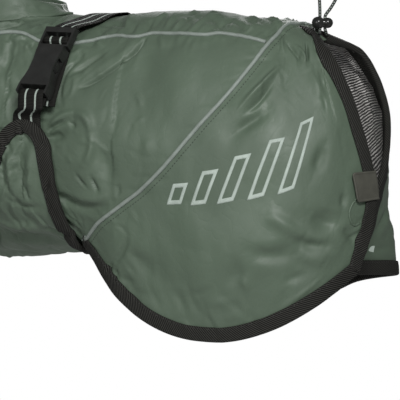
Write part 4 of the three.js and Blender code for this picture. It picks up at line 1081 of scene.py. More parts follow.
def cord_material():
    """A braided elastic cord: black, with pale flecks that wind round it."""
    colours = bpy.context.scene.coat_colours
    material, shader, w = bare_material("flecked_cord", 0.6, 0.4)
    uv = w.cloth_place()
    one, two = (w.effect("ribs", Vector=uv, Pitch=0.0021, Along=0.83, Across=across, Waver=0.05)
                for across in (0.55, -0.55))
    fleck = w.math("MULTIPLY", one["Mask"], two["Mask"])
    w.join(w.mix(fleck, tone(colours.tape, 0.9), tone(colours.reflective, 1.0)),
           shader.inputs["Base Color"])
    bump(w, shader, w.math("MAXIMUM", one["Height"], two["Height"]), 0.0003, 0.9)
    return material


def thread_material(name, color):
    """Twisted sewing thread."""
    material, shader, w = bare_material(name, 0.5, 0.4)
    twist = w.drift(w.object_place(), color, 1.3, 0.7, 1800.0)
    w.join(twist["Color"], shader.inputs["Base Color"])
    w.join(w.ramp(twist["Share"], 0.4, 0.6), shader.inputs["Roughness"])
    return material


@functools.cache
def material(name):
    colours = bpy.context.scene.coat_colours
    makers = {
        "shell": shell_material,
        "lining": lining_material,
        "binding": tape_material,
        "webbing": webbing_material,
        "piping": lambda: reflective_material("reflective_piping", 0.55),
        "print": lambda: reflective_material("reflective_print", 1.0, 0.0008),
        "half_round": lambda: reflective_material("pale_half_round", 1.3),
        "buckle": lambda: moulded_material("satin_acetal", colours.plastic, (0.32, 0.5)),
        "lock": lambda: moulded_material(
            "glossy_lock", colours.plastic, (0.12, 0.22), 900.0, 0.00003),
        "label": lambda: moulded_material(
            "soft_rubber", colours.label, (0.55, 0.7), 1000.0, 0.0001),
        "cord": cord_material,
        "dark_thread": lambda: thread_material("black_thread", tone(colours.tape, 1.6)),
        "shell_thread": lambda: thread_material("shell_thread", tone(colours.shell, 0.22)),
    }
    return makers[name]()


# ---------------------------------------------------------------- the panels

SIDES = ((-1, "left"), (1, "right"))
SEAM_INSET = SEAM_GAP / 2 + 0.05
THIGH_INSET, INSET_FROM = 0.5, 150
PANEL_START = CHEST_STATION + 0.7
LINING_SHARES = (0.03, 0.985)

# About how far each panel's mesh runs along and down the coat, in millimetres, and how coarse it
# is against the mesh step, by side where the two differ.
BACK_SPAN, BACK_COARSE = (332, 65), 1.15
SIDE_SPAN, SIDE_COARSE = (300, 200), {-1: 0.95, 1: 1.4}
HIND_SPAN, HIND_COARSE = (180, 265), {-1: 1.0, 1: 1.3}
LINING_SPAN, LINING_COARSE = (170, 250), 1.5
BELLY_SPAN, BELLY_COARSE = (240, 210), (1.15, 1.3)
BREAST_SPAN, BREAST_COARSE = 53, 1.5
COLLAR_SPAN, COLLAR_COARSE = (190, 36), 1.3
FEWEST = 4


def shares(length, factor, low=0.0, high=1.0):
    """Even shares over a length of cloth, about a mesh step times the factor apart."""
    return np.linspace(low, high, counts(length, factor))


def counts(length, factor):
    step = bpy.context.scene.coat_sizes.mesh_step / MM
    return max(FEWEST, int(round(length / (step * factor))) + 1)


def build_wall(name, grids, slot, replaced, outer=0.0, inner=-CLOTH_WALL):
    return coat_piece(name, wall_mesh(grids, outer, inner), slot, [replaced])


def seam_inset(station):
    return THIGH_INSET * smooth(INSET_FROM, MEETING_STATION, station)


def back_at(stations, across):
    """Places of the back panel, across from the left seam to the right one."""
    t = np.abs(across)[:, None]
    s = stations[None, :]
    stretch = smooth(NECK_STATION, MEETING_STATION, s)
    reach = thigh_seam(t * BACK_SEAM_END) - MEETING_STATION
    girth = across[:, None] * (back_seam(s) - SEAM_INSET)
    return np.stack([s + reach * stretch - seam_inset(s), girth], -1)


def patch(side, top, bottom, front, back, c, t):
    """Places inside four edges, each given as its stations and its girths."""
    out = []
    for up, low, first, last in zip(top, bottom, front, back):
        blend = ((1 - c) * first + c * last) + ((1 - t) * up + t * low)
        out.append(blend - ((1 - t) * ((1 - c) * up[0, 0] + c * up[0, -1])
                            + t * ((1 - c) * low[0, 0] + c * low[0, -1])))
    return np.stack([out[0], side * out[1]], -1)


def side_at(side, columns, rows):
    """Places of a side panel between its four edges."""
    c, t = columns[None, :], rows[:, None]
    station = PANEL_START + c * (MEETING_STATION - PANEL_START)
    corner = thigh_seam(HEM_GIRTH) - THIGH_INSET
    upper = back_seam(PANEL_START) + SEAM_INSET
    top = (station - seam_inset(station), back_seam(station) + SEAM_INSET)
    bottom = (PANEL_START + (corner - PANEL_START) * c, HEM_GIRTH + 0 * c)
    front = (PANEL_START + 0 * t, upper + t * (HEM_GIRTH - upper))
    down = BACK_SEAM_END + t * (HEM_GIRTH - BACK_SEAM_END)
    return patch(side, top, bottom, front, (thigh_seam(down) - THIGH_INSET, down), c, t)


def hind_at(side, columns, rows):
    """Places of a hind panel, from the thigh seam to its rear edge."""
    girth = rows[:, None] * HEM_GIRTH
    start = thigh_seam(girth) + THIGH_INSET
    station = start + (TAIL_STATION - start) * columns[None, :]
    return np.stack([station, side * girth + 0 * station], -1)


tab_front = line_of(TAB_FRONT)
tab_back = line_of(TAB_BACK)
BREAST_GIRTH = tab_front(np.array([0.0]))[0][1]


def belly_at(side, columns, rows):
    """Places of the belly panel behind the chest seam, from its free edge to the middle."""
    c, t = columns[None, :], rows[:, None]
    top = np.moveaxis(tab_front(columns), -1, 0)[:, None, :]
    back = np.moveaxis(tab_back(rows), -1, 0)[:, :, None]
    last = tab_back(np.array([1.0]))[0][0]
    bottom = (CHEST_STATION + (last - CHEST_STATION) * c, BELLY_GIRTH + 0 * c)
    front = (CHEST_STATION + 0 * t, BREAST_GIRTH + (BELLY_GIRTH - BREAST_GIRTH) * t)
    return patch(side, top, bottom, front, back, c, t)


def middle_flat(grid):
    """A grid whose middle edge lies on the middle plane, where both halves share normals."""
    points, normals, at = grid
    centre = np.abs(points[..., 1]) < NEAR_MIDDLE
    points[centre, 1] = 0
    normals[centre, 1] = 0
    return points, unit(normals), at


class COAT_OT_back_panel(bpy.types.Operator):
    """Builds the panel over the spine, between the two piped back seams"""

    bl_idname = "coat.back_panel"
    bl_label = "Back panel"

    def execute(self, context):
        length, girth = BACK_SPAN
        stations = shares(length, BACK_COARSE, PANEL_START, MEETING_STATION)
        across = np.linspace(-1, 1, 2 * (counts(girth, BACK_COARSE) // 2) + 1)
        grid = cloth_grid(back_at(stations, across))
        piece = build_wall("back_cloth", [grid], "shell", "back_panel")
        return {"FINISHED"}


class COAT_OT_side_panels(bpy.types.Operator):
    """Builds the two panels from the chest to the thigh"""

    bl_idname = "coat.side_panels"
    bl_label = "Side panels"

    def execute(self, context):
        for side, label in SIDES:
            columns, rows = (shares(length, SIDE_COARSE[side]) for length in SIDE_SPAN)
            grid = cloth_grid(side_at(side, columns, rows))
            piece = build_wall(f"side_cloth_{label}", [grid], "shell", f"side_panel_{label}")
        return {"FINISHED"}


class COAT_OT_hind_panels(bpy.types.Operator):
    """Builds the two thigh flaps and the ribbed lining that shows inside them"""

    bl_idname = "coat.hind_panels"
    bl_label = "Hind panels and lining"

    def execute(self, context):
        for side, label in SIDES:
            columns, rows = (shares(length, HIND_COARSE[side]) for length in HIND_SPAN)
            grid = cloth_grid(hind_at(side, columns, rows))
            piece = build_wall(f"hind_cloth_{label}", [grid], "shell", f"hind_panel_{label}")
            columns, rows = (
                shares(length, LINING_COARSE, *LINING_SHARES) for length in LINING_SPAN)
            grid = cloth_grid(hind_at(side, columns, rows), -CLOTH_WALL - SEAM_GAP)
            lining = build_wall(f"hind_lining_cloth_{label}", [grid], "lining",
                                f"hind_lining_{label}", 0.0, -LINING_SHEET)
        return {"FINISHED"}


class COAT_OT_belly_panel(bpy.types.Operator):
    """Builds the breast, the belly and its two tabs as one panel"""

    bl_idname = "coat.belly_panel"
    bl_label = "Belly panel"

    def execute(self, context):
        grids = []
        columns, rows = (shares(*pair) for pair in zip(BELLY_SPAN, BELLY_COARSE))
        breast_girths = np.concatenate([
            np.linspace(0, BREAST_GIRTH, counts(BREAST_GIRTH, BREAST_COARSE), endpoint=False),
            BREAST_GIRTH + (BELLY_GIRTH - BREAST_GIRTH) * rows,
        ])
        stations = shares(BREAST_SPAN, BREAST_COARSE, FRONT_STATION, CHEST_STATION)
        for side, _ in SIDES:
            grids.append(middle_flat(cloth_grid(belly_at(side, columns, rows), belly=True)))
            at = np.stack(np.meshgrid(stations, side * breast_girths), -1)
            if side > 0:
                at[..., 1] = np.maximum(at[..., 1], OFF_MIDDLE)
            grids.append(middle_flat(cloth_grid(at, belly=True)))
        piece = build_wall("belly_cloth", grids, "shell", "belly_panel")
        return {"FINISHED"}


COLLAR_HEIGHT, COLLAR_SWELL, COLLAR_FULL = 34, 1.6, 0.8
# Folds of the collar, as the swells of the whole cloth are given; then the share of its height
# from which they count, and how far the free edge lets them go.
COLLAR_FOLDS = ((ROLLING, 1.5, (13, 1.6), (7, 12)), (RUMPLE, 0.6, (5, 3), (3, 20)))
COLLAR_SEWN, COLLAR_FREE = 0.02, 0.97


def collar_grid(side):
    """One half of the collar, from the neck seam to its free edge, swelling out between."""
    edge = np.array(COLLAR_EDGE, float)
    length, height = COLLAR_SPAN
    stations = shares(length, COLLAR_COARSE, FRONT_STATION, NECK_STATION)
    rows = shares(height, COLLAR_COARSE)
    x, y, z = (curve(edge, k)(stations) for k in (1, 2, 3))
    free = np.column_stack([x, side * y, z])
    seam = form(np.column_stack([stations, np.full(len(stations), side * OFF_MIDDLE)]))
    seam[:, 1] = np.where(np.abs(seam[:, 1]) < NEAR_MIDDLE, 0, seam[:, 1])
    points = seam[None] + rows[:, None, None] * (free - seam)[None]
    along, up = np.gradient(points, axis=1), np.gradient(points, axis=0)
    normals = unit(np.cross(up, along) * -side)
    normals[np.abs(points[..., 1]) < NEAR_MIDDLE, 1] = 0
    normals = unit(normals)
    s, r = np.meshgrid(stations, rows)
    swell = COLLAR_SWELL * np.sin(np.pi * r) ** COLLAR_FULL
    folds = sum(
        rise * noise.at(s / along_pitch + first, side * r * turns + row)
        for noise, rise, (along_pitch, turns), (first, row) in COLLAR_FOLDS
    )
    held = np.sin(np.pi * np.clip(r, COLLAR_SEWN, 1) * COLLAR_FREE)
    points = points + normals * ((swell + folds * strength()) * held)[..., None]
    points[np.abs(seam[None, :, 1]).repeat(len(rows), 0) < NEAR_MIDDLE, 1] = 0
    return points, normals, np.stack([s, side * r * COLLAR_HEIGHT], -1)


class COAT_OT_collar(bpy.types.Operator):
    """Builds the short standing collar on the neck seam"""

    bl_idname = "coat.collar"
    bl_label = "Collar"

    def execute(self, context):
        grids = [collar_grid(side) for side, _ in SIDES]
        piece = build_wall("collar_cloth", grids, "shell", "collar")
        return {"FINISHED"}


# ---------------------------------------------------------------- bindings, piping and stitching

EDGE_POINTS, SHORT_EDGE_POINTS, LINE_POINTS = 260, 80, 300
# Where the trims begin and end along the edges.
NOTCH_START = 0.545
REAR_START, HEM_SHORT = 0.5, 2.5
LEG_SHARES = (1 / 21, 8.9 / 21)
TAB_START, TAB_END = 0.1, 0.995
STITCH_INSET = 1.6
# A place well inside the cloth that each edge bounds, as station and girth.
INSIDE_FLAP, INSIDE_SIDE, INSIDE_TAB = (170.0, 150.0), (-50.0, 150.0), (-30.0, 300.0)


def signed(line, side):
    """A line of station and girth, on that side of the coat."""
    return line * np.array([1, side])


def line_at(stations, girths):
    """A line of places, one of the two numbers being the same all along it."""
    return np.stack(np.broadcast_arrays(stations, girths), -1).astype(float)


def hind_edge(side):
    """The hind panel's free edge: tail notch, rear edge and hem."""
    start = thigh_seam(0.0) + THIGH_INSET
    first = start + NOTCH_START * (TAIL_STATION - start)
    corner = thigh_seam(HEM_GIRTH) + THIGH_INSET
    return (
        line_at(np.linspace(first, TAIL_STATION, SHORT_EDGE_POINTS), side * OFF_MIDDLE),
        line_at(TAIL_STATION, side * np.linspace(REAR_START, HEM_GIRTH, EDGE_POINTS)),
        line_at(np.linspace(TAIL_STATION, corner + HEM_SHORT, EDGE_POINTS)[1:], side * HEM_GIRTH),
    )


def leg_edge(side):
    """The side panel's free edge at the leg opening."""
    corner = thigh_seam(HEM_GIRTH) - THIGH_INSET
    station = PANEL_START + (corner - PANEL_START) * np.linspace(*LEG_SHARES, 90)
    return line_at(station, side * HEM_GIRTH)


def tab_edge(side):
    """The belly panel's free edge, up the front of its tab and down the back."""
    front = tab_front(np.linspace(TAB_START, 1, EDGE_POINTS))
    back = tab_back(np.linspace(0, TAB_END, EDGE_POINTS))[1:]
    return signed(np.concatenate([front, back]), side)


def toward_for(line, inside):
    """Which way across the line the cloth lies: the way to a place inside it."""
    k = len(line) // 2
    tangent = line[min(k + 3, len(line) - 1)] - line[k]
    return 1 if np.array([-tangent[1], tangent[0]]) @ (inside - line[k]) > 0 else -1


class COAT_OT_bindings(bpy.types.Operator):
    """Builds the twill tape folded over every free edge, with its row of stitches"""

    bl_idname = "coat.bindings"
    bl_label = "Bindings"

    def execute(self, context):
        section = binding_section()
        for side, label in SIDES:
            threads = []
            for part, lines, inside, belly, sewn in (
                ("hind", hind_edge(side), INSIDE_FLAP, False, True),
                ("leg", [leg_edge(side)], INSIDE_SIDE, False, False),
                ("tab", [tab_edge(side)], INSIDE_TAB, True, True),
            ):
                tapes = []
                for line in lines:
                    toward = toward_for(line, signed(np.array(inside), side))
                    tapes.append(strip(line, section, toward, belly=belly))
                    if sewn:
                        threads += stitches(line, toward, BINDING_REACH - STITCH_INSET,
                                            BINDING_TURN + 0.1, belly=belly)
                coat_piece(f"{part}_tape_{label}", merged(tapes), "binding",
                           [f"{part}_binding_{label}"])
            coat_piece(f"tape_stitches_{label}", merged(threads), "binding", look="dark_thread")
        return {"FINISHED"}


PIPING_HALF = 1.75
PIPING_HEIGHT = 2.0
PIPING_FOOT, PIPING_SUNK = 0.25, 0.3
PIPING_SHORT, PIPING_ABOVE_HEM = 1.5, 9
# The bead is built from a line this far to one side, so that its section lies all on one side.
PIPING_SHIFT = 2.0
TOPSTITCH_AWAY = 5.2


def back_line():
    """The line that the back seam's bead follows."""
    station = np.linspace(PANEL_START, MEETING_STATION - PIPING_SHORT, LINE_POINTS)
    return np.column_stack([station - seam_inset(station) / 2, back_seam(station)])


def thigh_line():
    """The line that the thigh seam's bead follows."""
    girth = np.linspace(PIPING_SHORT, HEM_GIRTH - PIPING_ABOVE_HEM, LINE_POINTS)
    return np.column_stack([thigh_seam(girth), girth])


def piping_section():
    """A round bead on a flat foot that is sunk in the seam."""
    bead = [(PIPING_HALF * math.cos(a),
             PIPING_FOOT + (PIPING_HEIGHT - PIPING_FOOT) * math.sin(a) ** 0.8)
            for a in np.linspace(0, math.pi, 11)]
    foot = [(-PIPING_HALF, -PIPING_SUNK), (PIPING_HALF, -PIPING_SUNK)]
    return [(x + PIPING_SHIFT, y) for x, y in bead + foot]


class COAT_OT_piping(bpy.types.Operator):
    """Builds the pale reflective piping in the back and thigh seams, and the topstitching"""

    bl_idname = "coat.piping"
    bl_label = "Piping and topstitching"

    def execute(self, context):
        section = piping_section()
        for side, label in SIDES:
            thigh = signed(thigh_line(), side)
            for name, line in (("back", signed(back_line(), side)), ("thigh", thigh)):
                shifted = line - across_line(line, side) * PIPING_SHIFT
                coat_piece(f"{name}_cord_{label}", strip(shifted, section, side, pitch=1.2),
                           "piping", [f"{name}_piping_{label}"])
            threads = stitches(thigh, -side, TOPSTITCH_AWAY, 0.1, length=1.7, gap=1.2, thick=0.34)
            coat_piece(f"seam_stitches_{label}", merged(threads), "shell", look="shell_thread")
        return {"FINISHED"}


# ---------------------------------------------------------------- webbing and buckle

BUCKLE_AXES = np.array([
    (0.9914, -0.1177, -0.0517), (0.112, 0.587, 0.802), (-0.064, -0.801, 0.595),
])
BUCKLE_PLACE = np.array([9.7, -108.0, -69.9])
BAR_Y, BAR_TURN = 2.2, 3.45
FRAME_BAR_Y, FRAME_TURN = 58.5, 3.2


def round_bar(centre, radius, start, end, count):
    angles = np.radians(np.linspace(start, end, count + 1))
    return [(centre + radius * math.cos(a), radius * math.sin(a)) for a in angles]


LOWER_STRAP = [(-10, -3.4), (-5, 0.4), (-1, 3.0), *round_bar(BAR_Y, BAR_TURN, 90, -90, 6),
               (-1, -3.1), (-4, -3.3), (-7, -4.4)]
UPPER_STRAP = [
    (76, -4.5, 0), (71, -4.4, 0), (65.3, -4.3, 0), (63.3, -2.9, 0),
    *[(y, z, 0) for y, z in round_bar(FRAME_BAR_Y, FRAME_TURN, 0, 180, 6)],
    (54.9, -1.8, 0), (54.1, -4.1, 0), (52.2, -5.8, 0), (49, -6.5, 0.3), (38, -6.6, 1.6),
    (26, -6.6, 3.2), (12, -6.8, 5.0), (2, -7.4, 6.2), (-4, -8.6, 7),
]
STRAP_ANCHOR = (37, 0.5, 2.2)
STRAP_MITRE = 1.03
LEFT_STRAP = ((33, 17, 2.2), (29, 32, 2.6))
RIGHT_STRAP = ((33, 17, 2.2), (28, 32, 2.6), (22.5, 46, 3.2), (17, 60, 4.0), (12.5, 73, 4.0),
               (9, 89, 3.2), (6, 106, 3.0), (4, 124, 3.4))
TAB_TIP = 4
STRAP_SEWN_IN, STRAP_FREE = 1.5, 6
# Shares of the webbing's width that its points lie at, and how much its two edges thin out.
ACROSS = np.linspace(-0.5, 0.5, 9)
EDGE_THIN = 0.35

tab_tip = curve(sorted([*TAB_FRONT[-4:], *TAB_BACK[1:4]]))


def in_buckle(x, y, z):
    """Points of the buckle's own axes, in the coat's."""
    right, up, out = BUCKLE_AXES
    return BUCKLE_PLACE + np.asarray(x)[..., None] * right + y * up + z * out


def base_cloth(station, girth, side, lift):
    """Points at that height over the smooth form, which a strap lies on."""
    at = np.stack([station, side * np.maximum(girth, OFF_MIDDLE)], -1)
    return form(at) + form_normal(at) * lift


def strap_rows(path, side):
    """Rows of points across a strap, from its mitred end at the spine down its path."""
    anchor_s, anchor_g, lift = STRAP_ANCHOR
    mitre = line_at(anchor_s + ACROSS * WEBBING_WIDTH * STRAP_MITRE, anchor_g)
    stops = [STRAP_ANCHOR, *path]
    rows = []
    for k in range(1, len(stops)):
        before, after = stops[k - 1], stops[min(k + 1, len(stops) - 1)]
        along = np.array([after[0] - before[0], after[1] - before[1]], float)
        along *= WEBBING_WIDTH / np.hypot(*along)
        station, girth, _ = stops[k]
        rows.append(np.column_stack([station + ACROSS * along[1], girth - ACROSS * along[0]]))
    lifts = [lift, lift, *[stop[2] for stop in path]]
    places = [mitre, (mitre + rows[0]) / 2, *rows]
    return [base_cloth(*row.T, side, height) for row, height in zip(places, lifts)]


def tab_rows(side):
    """Rows of points across a strap's end, sewn in between the tab and its binding."""
    station = TAB_TIP + ACROSS * WEBBING_WIDTH
    slope = tab_tip(station + 0.5) - tab_tip(station - 0.5)
    low = tab_tip(station) - (BINDING_TURN - STRAP_SEWN_IN) * np.hypot(1, slope)
    high = np.full(len(ACROSS), tab_tip(TAB_TIP) - STRAP_FREE)
    under = TAB_LIFT - CLOTH_WALL / 2
    return [base_cloth(station, low, side, under), base_cloth(station, high, side, TAB_LIFT)]


def webbing_mesh(rows, pitch=1.6):
    """Webbing through rows of points, with soft edges and its length and width as UV."""
    points, far = spline(np.array(rows), pitch)
    along = np.gradient(points.mean(axis=1), axis=0)
    across = points[:, -1] - points[:, 0]
    normal = unit(np.cross(across, along))[:, None, :].repeat(points.shape[1], 1)
    wide = ACROSS * WEBBING_WIDTH
    edge = 1 - EDGE_THIN * (np.abs(ACROSS) > 0.49)
    half = WEBBING_THICK / 2 * edge[None, :, None]
    upper, lower = points + normal * half, points - normal * half
    rings = np.concatenate([upper, lower[:, ::-1]], axis=1)
    return tube_mesh(rings, far, np.concatenate([wide, wide[::-1]]))


class COAT_OT_straps(bpy.types.Operator):
    """Builds the webbing from the spine to the two tabs"""

    bl_idname = "coat.straps"
    bl_label = "Webbing straps"

    def execute(self, context):
        across = ACROSS * WEBBING_WIDTH
        lower = [*tab_rows(-1), *[in_buckle(across, y, z) for y, z in LOWER_STRAP]]
        upper = [in_buckle(across + x, y, z) for y, z, x in UPPER_STRAP]
        for name, rows, node in (
            ("webbing_lower_left", lower, "strap_lower_left"),
            ("webbing_upper_left", [*strap_rows(LEFT_STRAP, -1), *upper], "strap_upper_left"),
            ("webbing_right", [*strap_rows(RIGHT_STRAP, 1), *tab_rows(1)[::-1]], "strap_right"),
        ):
            coat_piece(name, webbing_mesh(rows), "webbing", [node])
        return {"FINISHED"}


def soften(node, slot, width):
    """Gives a rigid part its finish and small round edges, in millimetres."""
    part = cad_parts[node]
    part.data.materials.clear()
    part.data.materials.append(material(slot))
    bevel = part.modifiers.new("soft_edges", "BEVEL")
    bevel.width = width * MM
    bevel.segments = 3
    return part, bevel


class COAT_OT_buckle(bpy.types.Operator):
    """Gives the side-release buckle its moulded finish and soft edges"""

    bl_idname = "coat.buckle"
    bl_label = "Buckle"

    def execute(self, context):
        for node in ("buckle_socket", "buckle_plug"):
            part, bevel = soften(node, "buckle", 0.7)
            bevel.limit_method = "ANGLE"
            bevel.angle_limit = math.radians(28)
            part.data.shade_smooth()
        return {"FINISHED"}


# ---------------------------------------------------------------- label, print, cord and lock

LABEL_GIRTHS = (184.0, 204.0)
LABEL_OUT, LABEL_IN = 24.0, 12.0
LABEL_SLANT = 0.24
LABEL_CLEAR = BINDING_TURN + 0.5
LABEL_THICK = 1.3
LABEL_RIM, LABEL_RIM_RISE = 1.5, 0.45
LABEL_CORNER = 3.0
LABEL_SOFT, LABEL_SOFT_REACH = 0.35, 0.5
LABEL_LEVEL = 6
# Half moon of welt beside the label: its line of station and girth, half width and height.
WELT_LINE = ((287, 197), (280, 200), (276.5, 206), (279, 213), (285, 218), (290, 219))
WELT_HALF, WELT_HEIGHT, WELT_SHIFT = 0.9, 0.8, 10


def label_mesh():
    """A rubber tab folded over the rear binding, bare, with a raised rim and round corners."""
    low, middle_height = -CLOTH_WALL, LABEL_CLEAR + LABEL_THICK / 2
    radius = (2 * (LABEL_CLEAR + LABEL_THICK) - low) / 2 - LABEL_THICK / 2
    path = np.array([
        *[(x, middle_height) for x in np.linspace(LABEL_OUT, 0, 30)],
        *[(-math.sin(a) * middle_height, low / 2 + math.cos(a) * radius)
          for a in np.linspace(0, math.pi, 15)[1:-1]],
        *[(x, low - LABEL_CLEAR - LABEL_THICK / 2) for x in np.linspace(0, LABEL_IN, 14)],
    ])
    ahead = unit(np.gradient(path, axis=0))
    out = np.column_stack([ahead[:, 1], -ahead[:, 0]])
    far = travelled(path)
    middle, half = sum(LABEL_GIRTHS) / 2, (LABEL_GIRTHS[1] - LABEL_GIRTHS[0]) / 2
    share = np.concatenate([
        np.linspace(-1, -0.8, 7), np.linspace(-0.78, 0.78, 15), np.linspace(0.8, 1, 7),
    ])
    skins = []
    for face in (1, -1):
        rows = []
        for k, (across, height) in enumerate(path):
            from_end = min(far[k], far[-1] - far[k])
            cut = max(0.0, LABEL_CORNER - from_end)
            reach = half - (LABEL_CORNER - math.sqrt(max(LABEL_CORNER ** 2 - cut ** 2, 0.0)))
            girth = middle + share * reach - LABEL_SLANT * (max(across, 0.0) - LABEL_LEVEL)
            border = np.minimum(
                np.minimum(reach - np.abs(share) * reach, from_end), LABEL_RIM + 1)
            rim = LABEL_RIM_RISE * (1 - smooth(LABEL_RIM - 0.4, LABEL_RIM, border))
            soft = LABEL_SOFT * (1 - np.clip(border / LABEL_SOFT_REACH, 0, 1)) ** 2
            lift = face * (LABEL_THICK / 2 - soft) + (rim if face > 0 else 0)
            line = line_at(TAIL_STATION, -girth)
            rows.append(label_base(line, across + out[k, 0] * lift)
                        + form_normal(line) * (height + out[k, 1] * lift)[:, None])
        skins.append(np.array(rows))
    rings = np.concatenate([skins[0], skins[1][:, ::-1]], axis=1)
    return tube_mesh(rings, far, np.concatenate([share, share[::-1]]) * half)


def label_base(line, inward):
    """Points of the flap's smooth form that far in from its rear edge, or straight off it."""
    push = push_in_space(line, -across_line(line, 1))
    push *= np.sign(-push[:, :1])
    station = TAIL_STATION - np.maximum(inward, 0) / np.linalg.norm(jacobian(line)[0], axis=1)
    inside = form(np.column_stack([station, line[:, 1]]))
    outside = form(line) + unit(push) * np.minimum(inward, 0)[:, None]
    return np.where((inward >= 0)[:, None], inside, outside)


class COAT_OT_label(bpy.types.Operator):
    """Builds the bare rubber label and the half-moon welt sewn in under it"""

    bl_idname = "coat.label"
    bl_label = "Label"

    def execute(self, context):
        coat_piece("rubber_label", label_mesh(), "label", ["label_tab"])
        knots = np.linspace(0, 1, len(WELT_LINE))
        table = np.column_stack([knots, WELT_LINE])
        at = np.linspace(0, 1, 60)
        line = signed(np.column_stack([curve(table, k)(at) for k in (1, 2)]), -1)
        section = [(WELT_SHIFT + WELT_HALF * math.cos(a), 0.05 + WELT_HEIGHT * math.sin(a))
                   for a in np.linspace(0, math.pi, 7)]
        shifted = line - across_line(line, 1) * WELT_SHIFT
        coat_piece("half_moon_welt", strip(shifted, section, 1, pitch=0.8), "shell")
        return {"FINISHED"}


class COAT_OT_half_round(bpy.types.Operator):
    """Gives the pale half-round tab beside the right flap's binding its finish and soft edges"""

    bl_idname = "coat.half_round"
    bl_label = "Half-round tab"

    def execute(self, context):
        soften("half_round_tab", "half_round", 0.3)
        return {"FINISHED"}


# The print: a row of slanted outlined bars, graded in length. Each has the middle of its foot
# on the cloth and its length; all share their width, slant and line.
PRINT_FEET = ((137, 186), (158, 184), (180, 182), (203, 180), (226, 178))
PRINT_LENGTHS = (14, 22, 30, 39, 48)
PRINT_WIDTH = 13.0
PRINT_SLANT = (0.42, -0.91)
PRINT_LINE = 2.4
PRINT_PITCH = 1.5
PRINT_OUT, PRINT_IN = 0.16, -0.1


def print_bars():
    """The four corners of each bar."""
    slant = np.array(PRINT_SLANT)
    for foot, length in zip(np.array(PRINT_FEET, float), PRINT_LENGTHS):
        half = np.array([PRINT_WIDTH / 2, -1.0])
        yield (foot - half, foot + half, foot + half + length * slant, foot - half + length * slant)


def bar_outline(corners):
    """The inner and outer outline of one bar, as places on the cloth."""
    corners = np.array(corners, float)
    centre = corners.mean(axis=0)
    inner = []
    for k in range(4):
        before, here, after = corners[k - 1], corners[k], corners[(k + 1) % 4]
        a, b = unit(here - before), unit(after - here)
        normals = [np.array([-a[1], a[0]]), np.array([-b[1], b[0]])]
        normals = [n if n @ (centre - here) > 0 else -n for n in normals]
        bisector = unit(normals[0] + normals[1])
        inner.append(here + bisector * PRINT_LINE / max(bisector @ normals[0], 0.3))
    return corners, np.array(inner)


def round_outline(corners, numbers):
    """Places round an outline, with that many to each of its four sides."""
    return np.concatenate([
        corners[k] + (np.arange(n) / n)[:, None] * (corners[(k + 1) % 4] - corners[k])
        for k, n in enumerate(numbers)
    ])


class COAT_OT_print(bpy.types.Operator):
    """Prints a plain row of slanted reflective bars on each thigh flap"""

    bl_idname = "coat.print"
    bl_label = "Reflective print"

    def execute(self, context):
        for side, label in SIDES:
            parts = []
            for bar in print_bars():
                outer, inner = bar_outline(bar)
                lengths = np.hypot(*(np.roll(outer, -1, axis=0) - outer).T)
                numbers = [max(2, int(length / PRINT_PITCH)) for length in lengths]
                a, b = round_outline(outer, numbers), round_outline(inner, numbers)
                at = a[None] + np.linspace(0, 1, 4)[:, None, None] * (b - a)[None]
                at = signed(np.concatenate([at, at[:, :1]], axis=1), side)
                parts.append(wall_mesh([cloth_grid(at)], PRINT_OUT, PRINT_IN))
            coat_piece(f"thigh_print_{label}", merged(parts), "piping", look="print")
        return {"FINISHED"}


CORD_ROUTE = np.array([
    (231.2, -6.6, -17.6), (230.2, -4, -16.4), (229.2, -0.9, -13.2), (229.2, -0.8, -8),
    (229.2, -0.8, -2.5), (229.1, -0.9, 5), (228.6, -1, 16), (229, -0.6, 30), (232, 1.5, 41),
    (238, 4, 44), (243.6, 6, 37), (244.4, 5.8, 24), (242, 4.5, 13), (237.6, 2.8, 4.5),
    (233.6, 1, -1.6), (233.2, 0.8, -4), (233.2, 0.8, -8), (233.2, 0.9, -13.2),
    (233.2, 4, -16.4), (232.6, 6.6, -17.6),
])
LOCK_AXES = np.array([(0.927, 0.375, 0), (-0.375, 0.927, 0), (0, 0, 1)])
LOCK_PLACE = np.array([231.2, 0, -8])
LOCK_BALLS = ((-3.6, 5.5), (4.4, 4.6))
LOCK_NECK = 3.9
LOCK_TIP = 0.05
LOCK_CORNERS, CORD_CORNERS = 40, 14


def tube_along(path, radius):
    """A round tube along close points, with an even twist, and its length."""
    far = travelled(path)
    side = np.array([0.0, 1.0, 0.0])
    angles = np.linspace(0, TAU, CORD_CORNERS, endpoint=False)
    turned = np.cos(angles)[:, None], np.sin(angles)[:, None]
    rings = []
    for point, ahead in zip(path, unit(np.gradient(path, axis=0))):
        side = unit(side - ahead * (side @ ahead))
        rings.append(point + radius * (turned[0] * side + turned[1] * np.cross(ahead, side)))
    return tube_mesh(np.array(rings), far, angles * radius), far[-1]


def lock_mesh():
    """The lock: two balls on one neck, turned about their common axis."""
    (x0, r0), (x1, r1) = LOCK_BALLS
    quarter = np.linspace(0, math.pi / 2, 14)
    x = np.concatenate([
        x0 - r0 * np.cos(quarter), np.linspace(x0, x1, 24)[1:-1], x1 + r1 * np.sin(quarter),
    ])
    reach = np.maximum(*(
        np.sqrt(np.maximum(radius ** 2 - (x - middle) ** 2, 0)) for middle, radius in LOCK_BALLS
    ))
    reach = np.where((x > x0) & (x < x1), np.maximum(reach, LOCK_NECK), reach)
    reach = np.maximum(reach, LOCK_TIP)[:, None]
    angles = np.linspace(0, TAU, LOCK_CORNERS, endpoint=False)
    local = np.stack([
        np.repeat(x[:, None], LOCK_CORNERS, 1), reach * np.cos(angles), reach * np.sin(angles),
    ], -1)
    return tube_mesh(LOCK_PLACE + local @ LOCK_AXES, x, angles * 4)


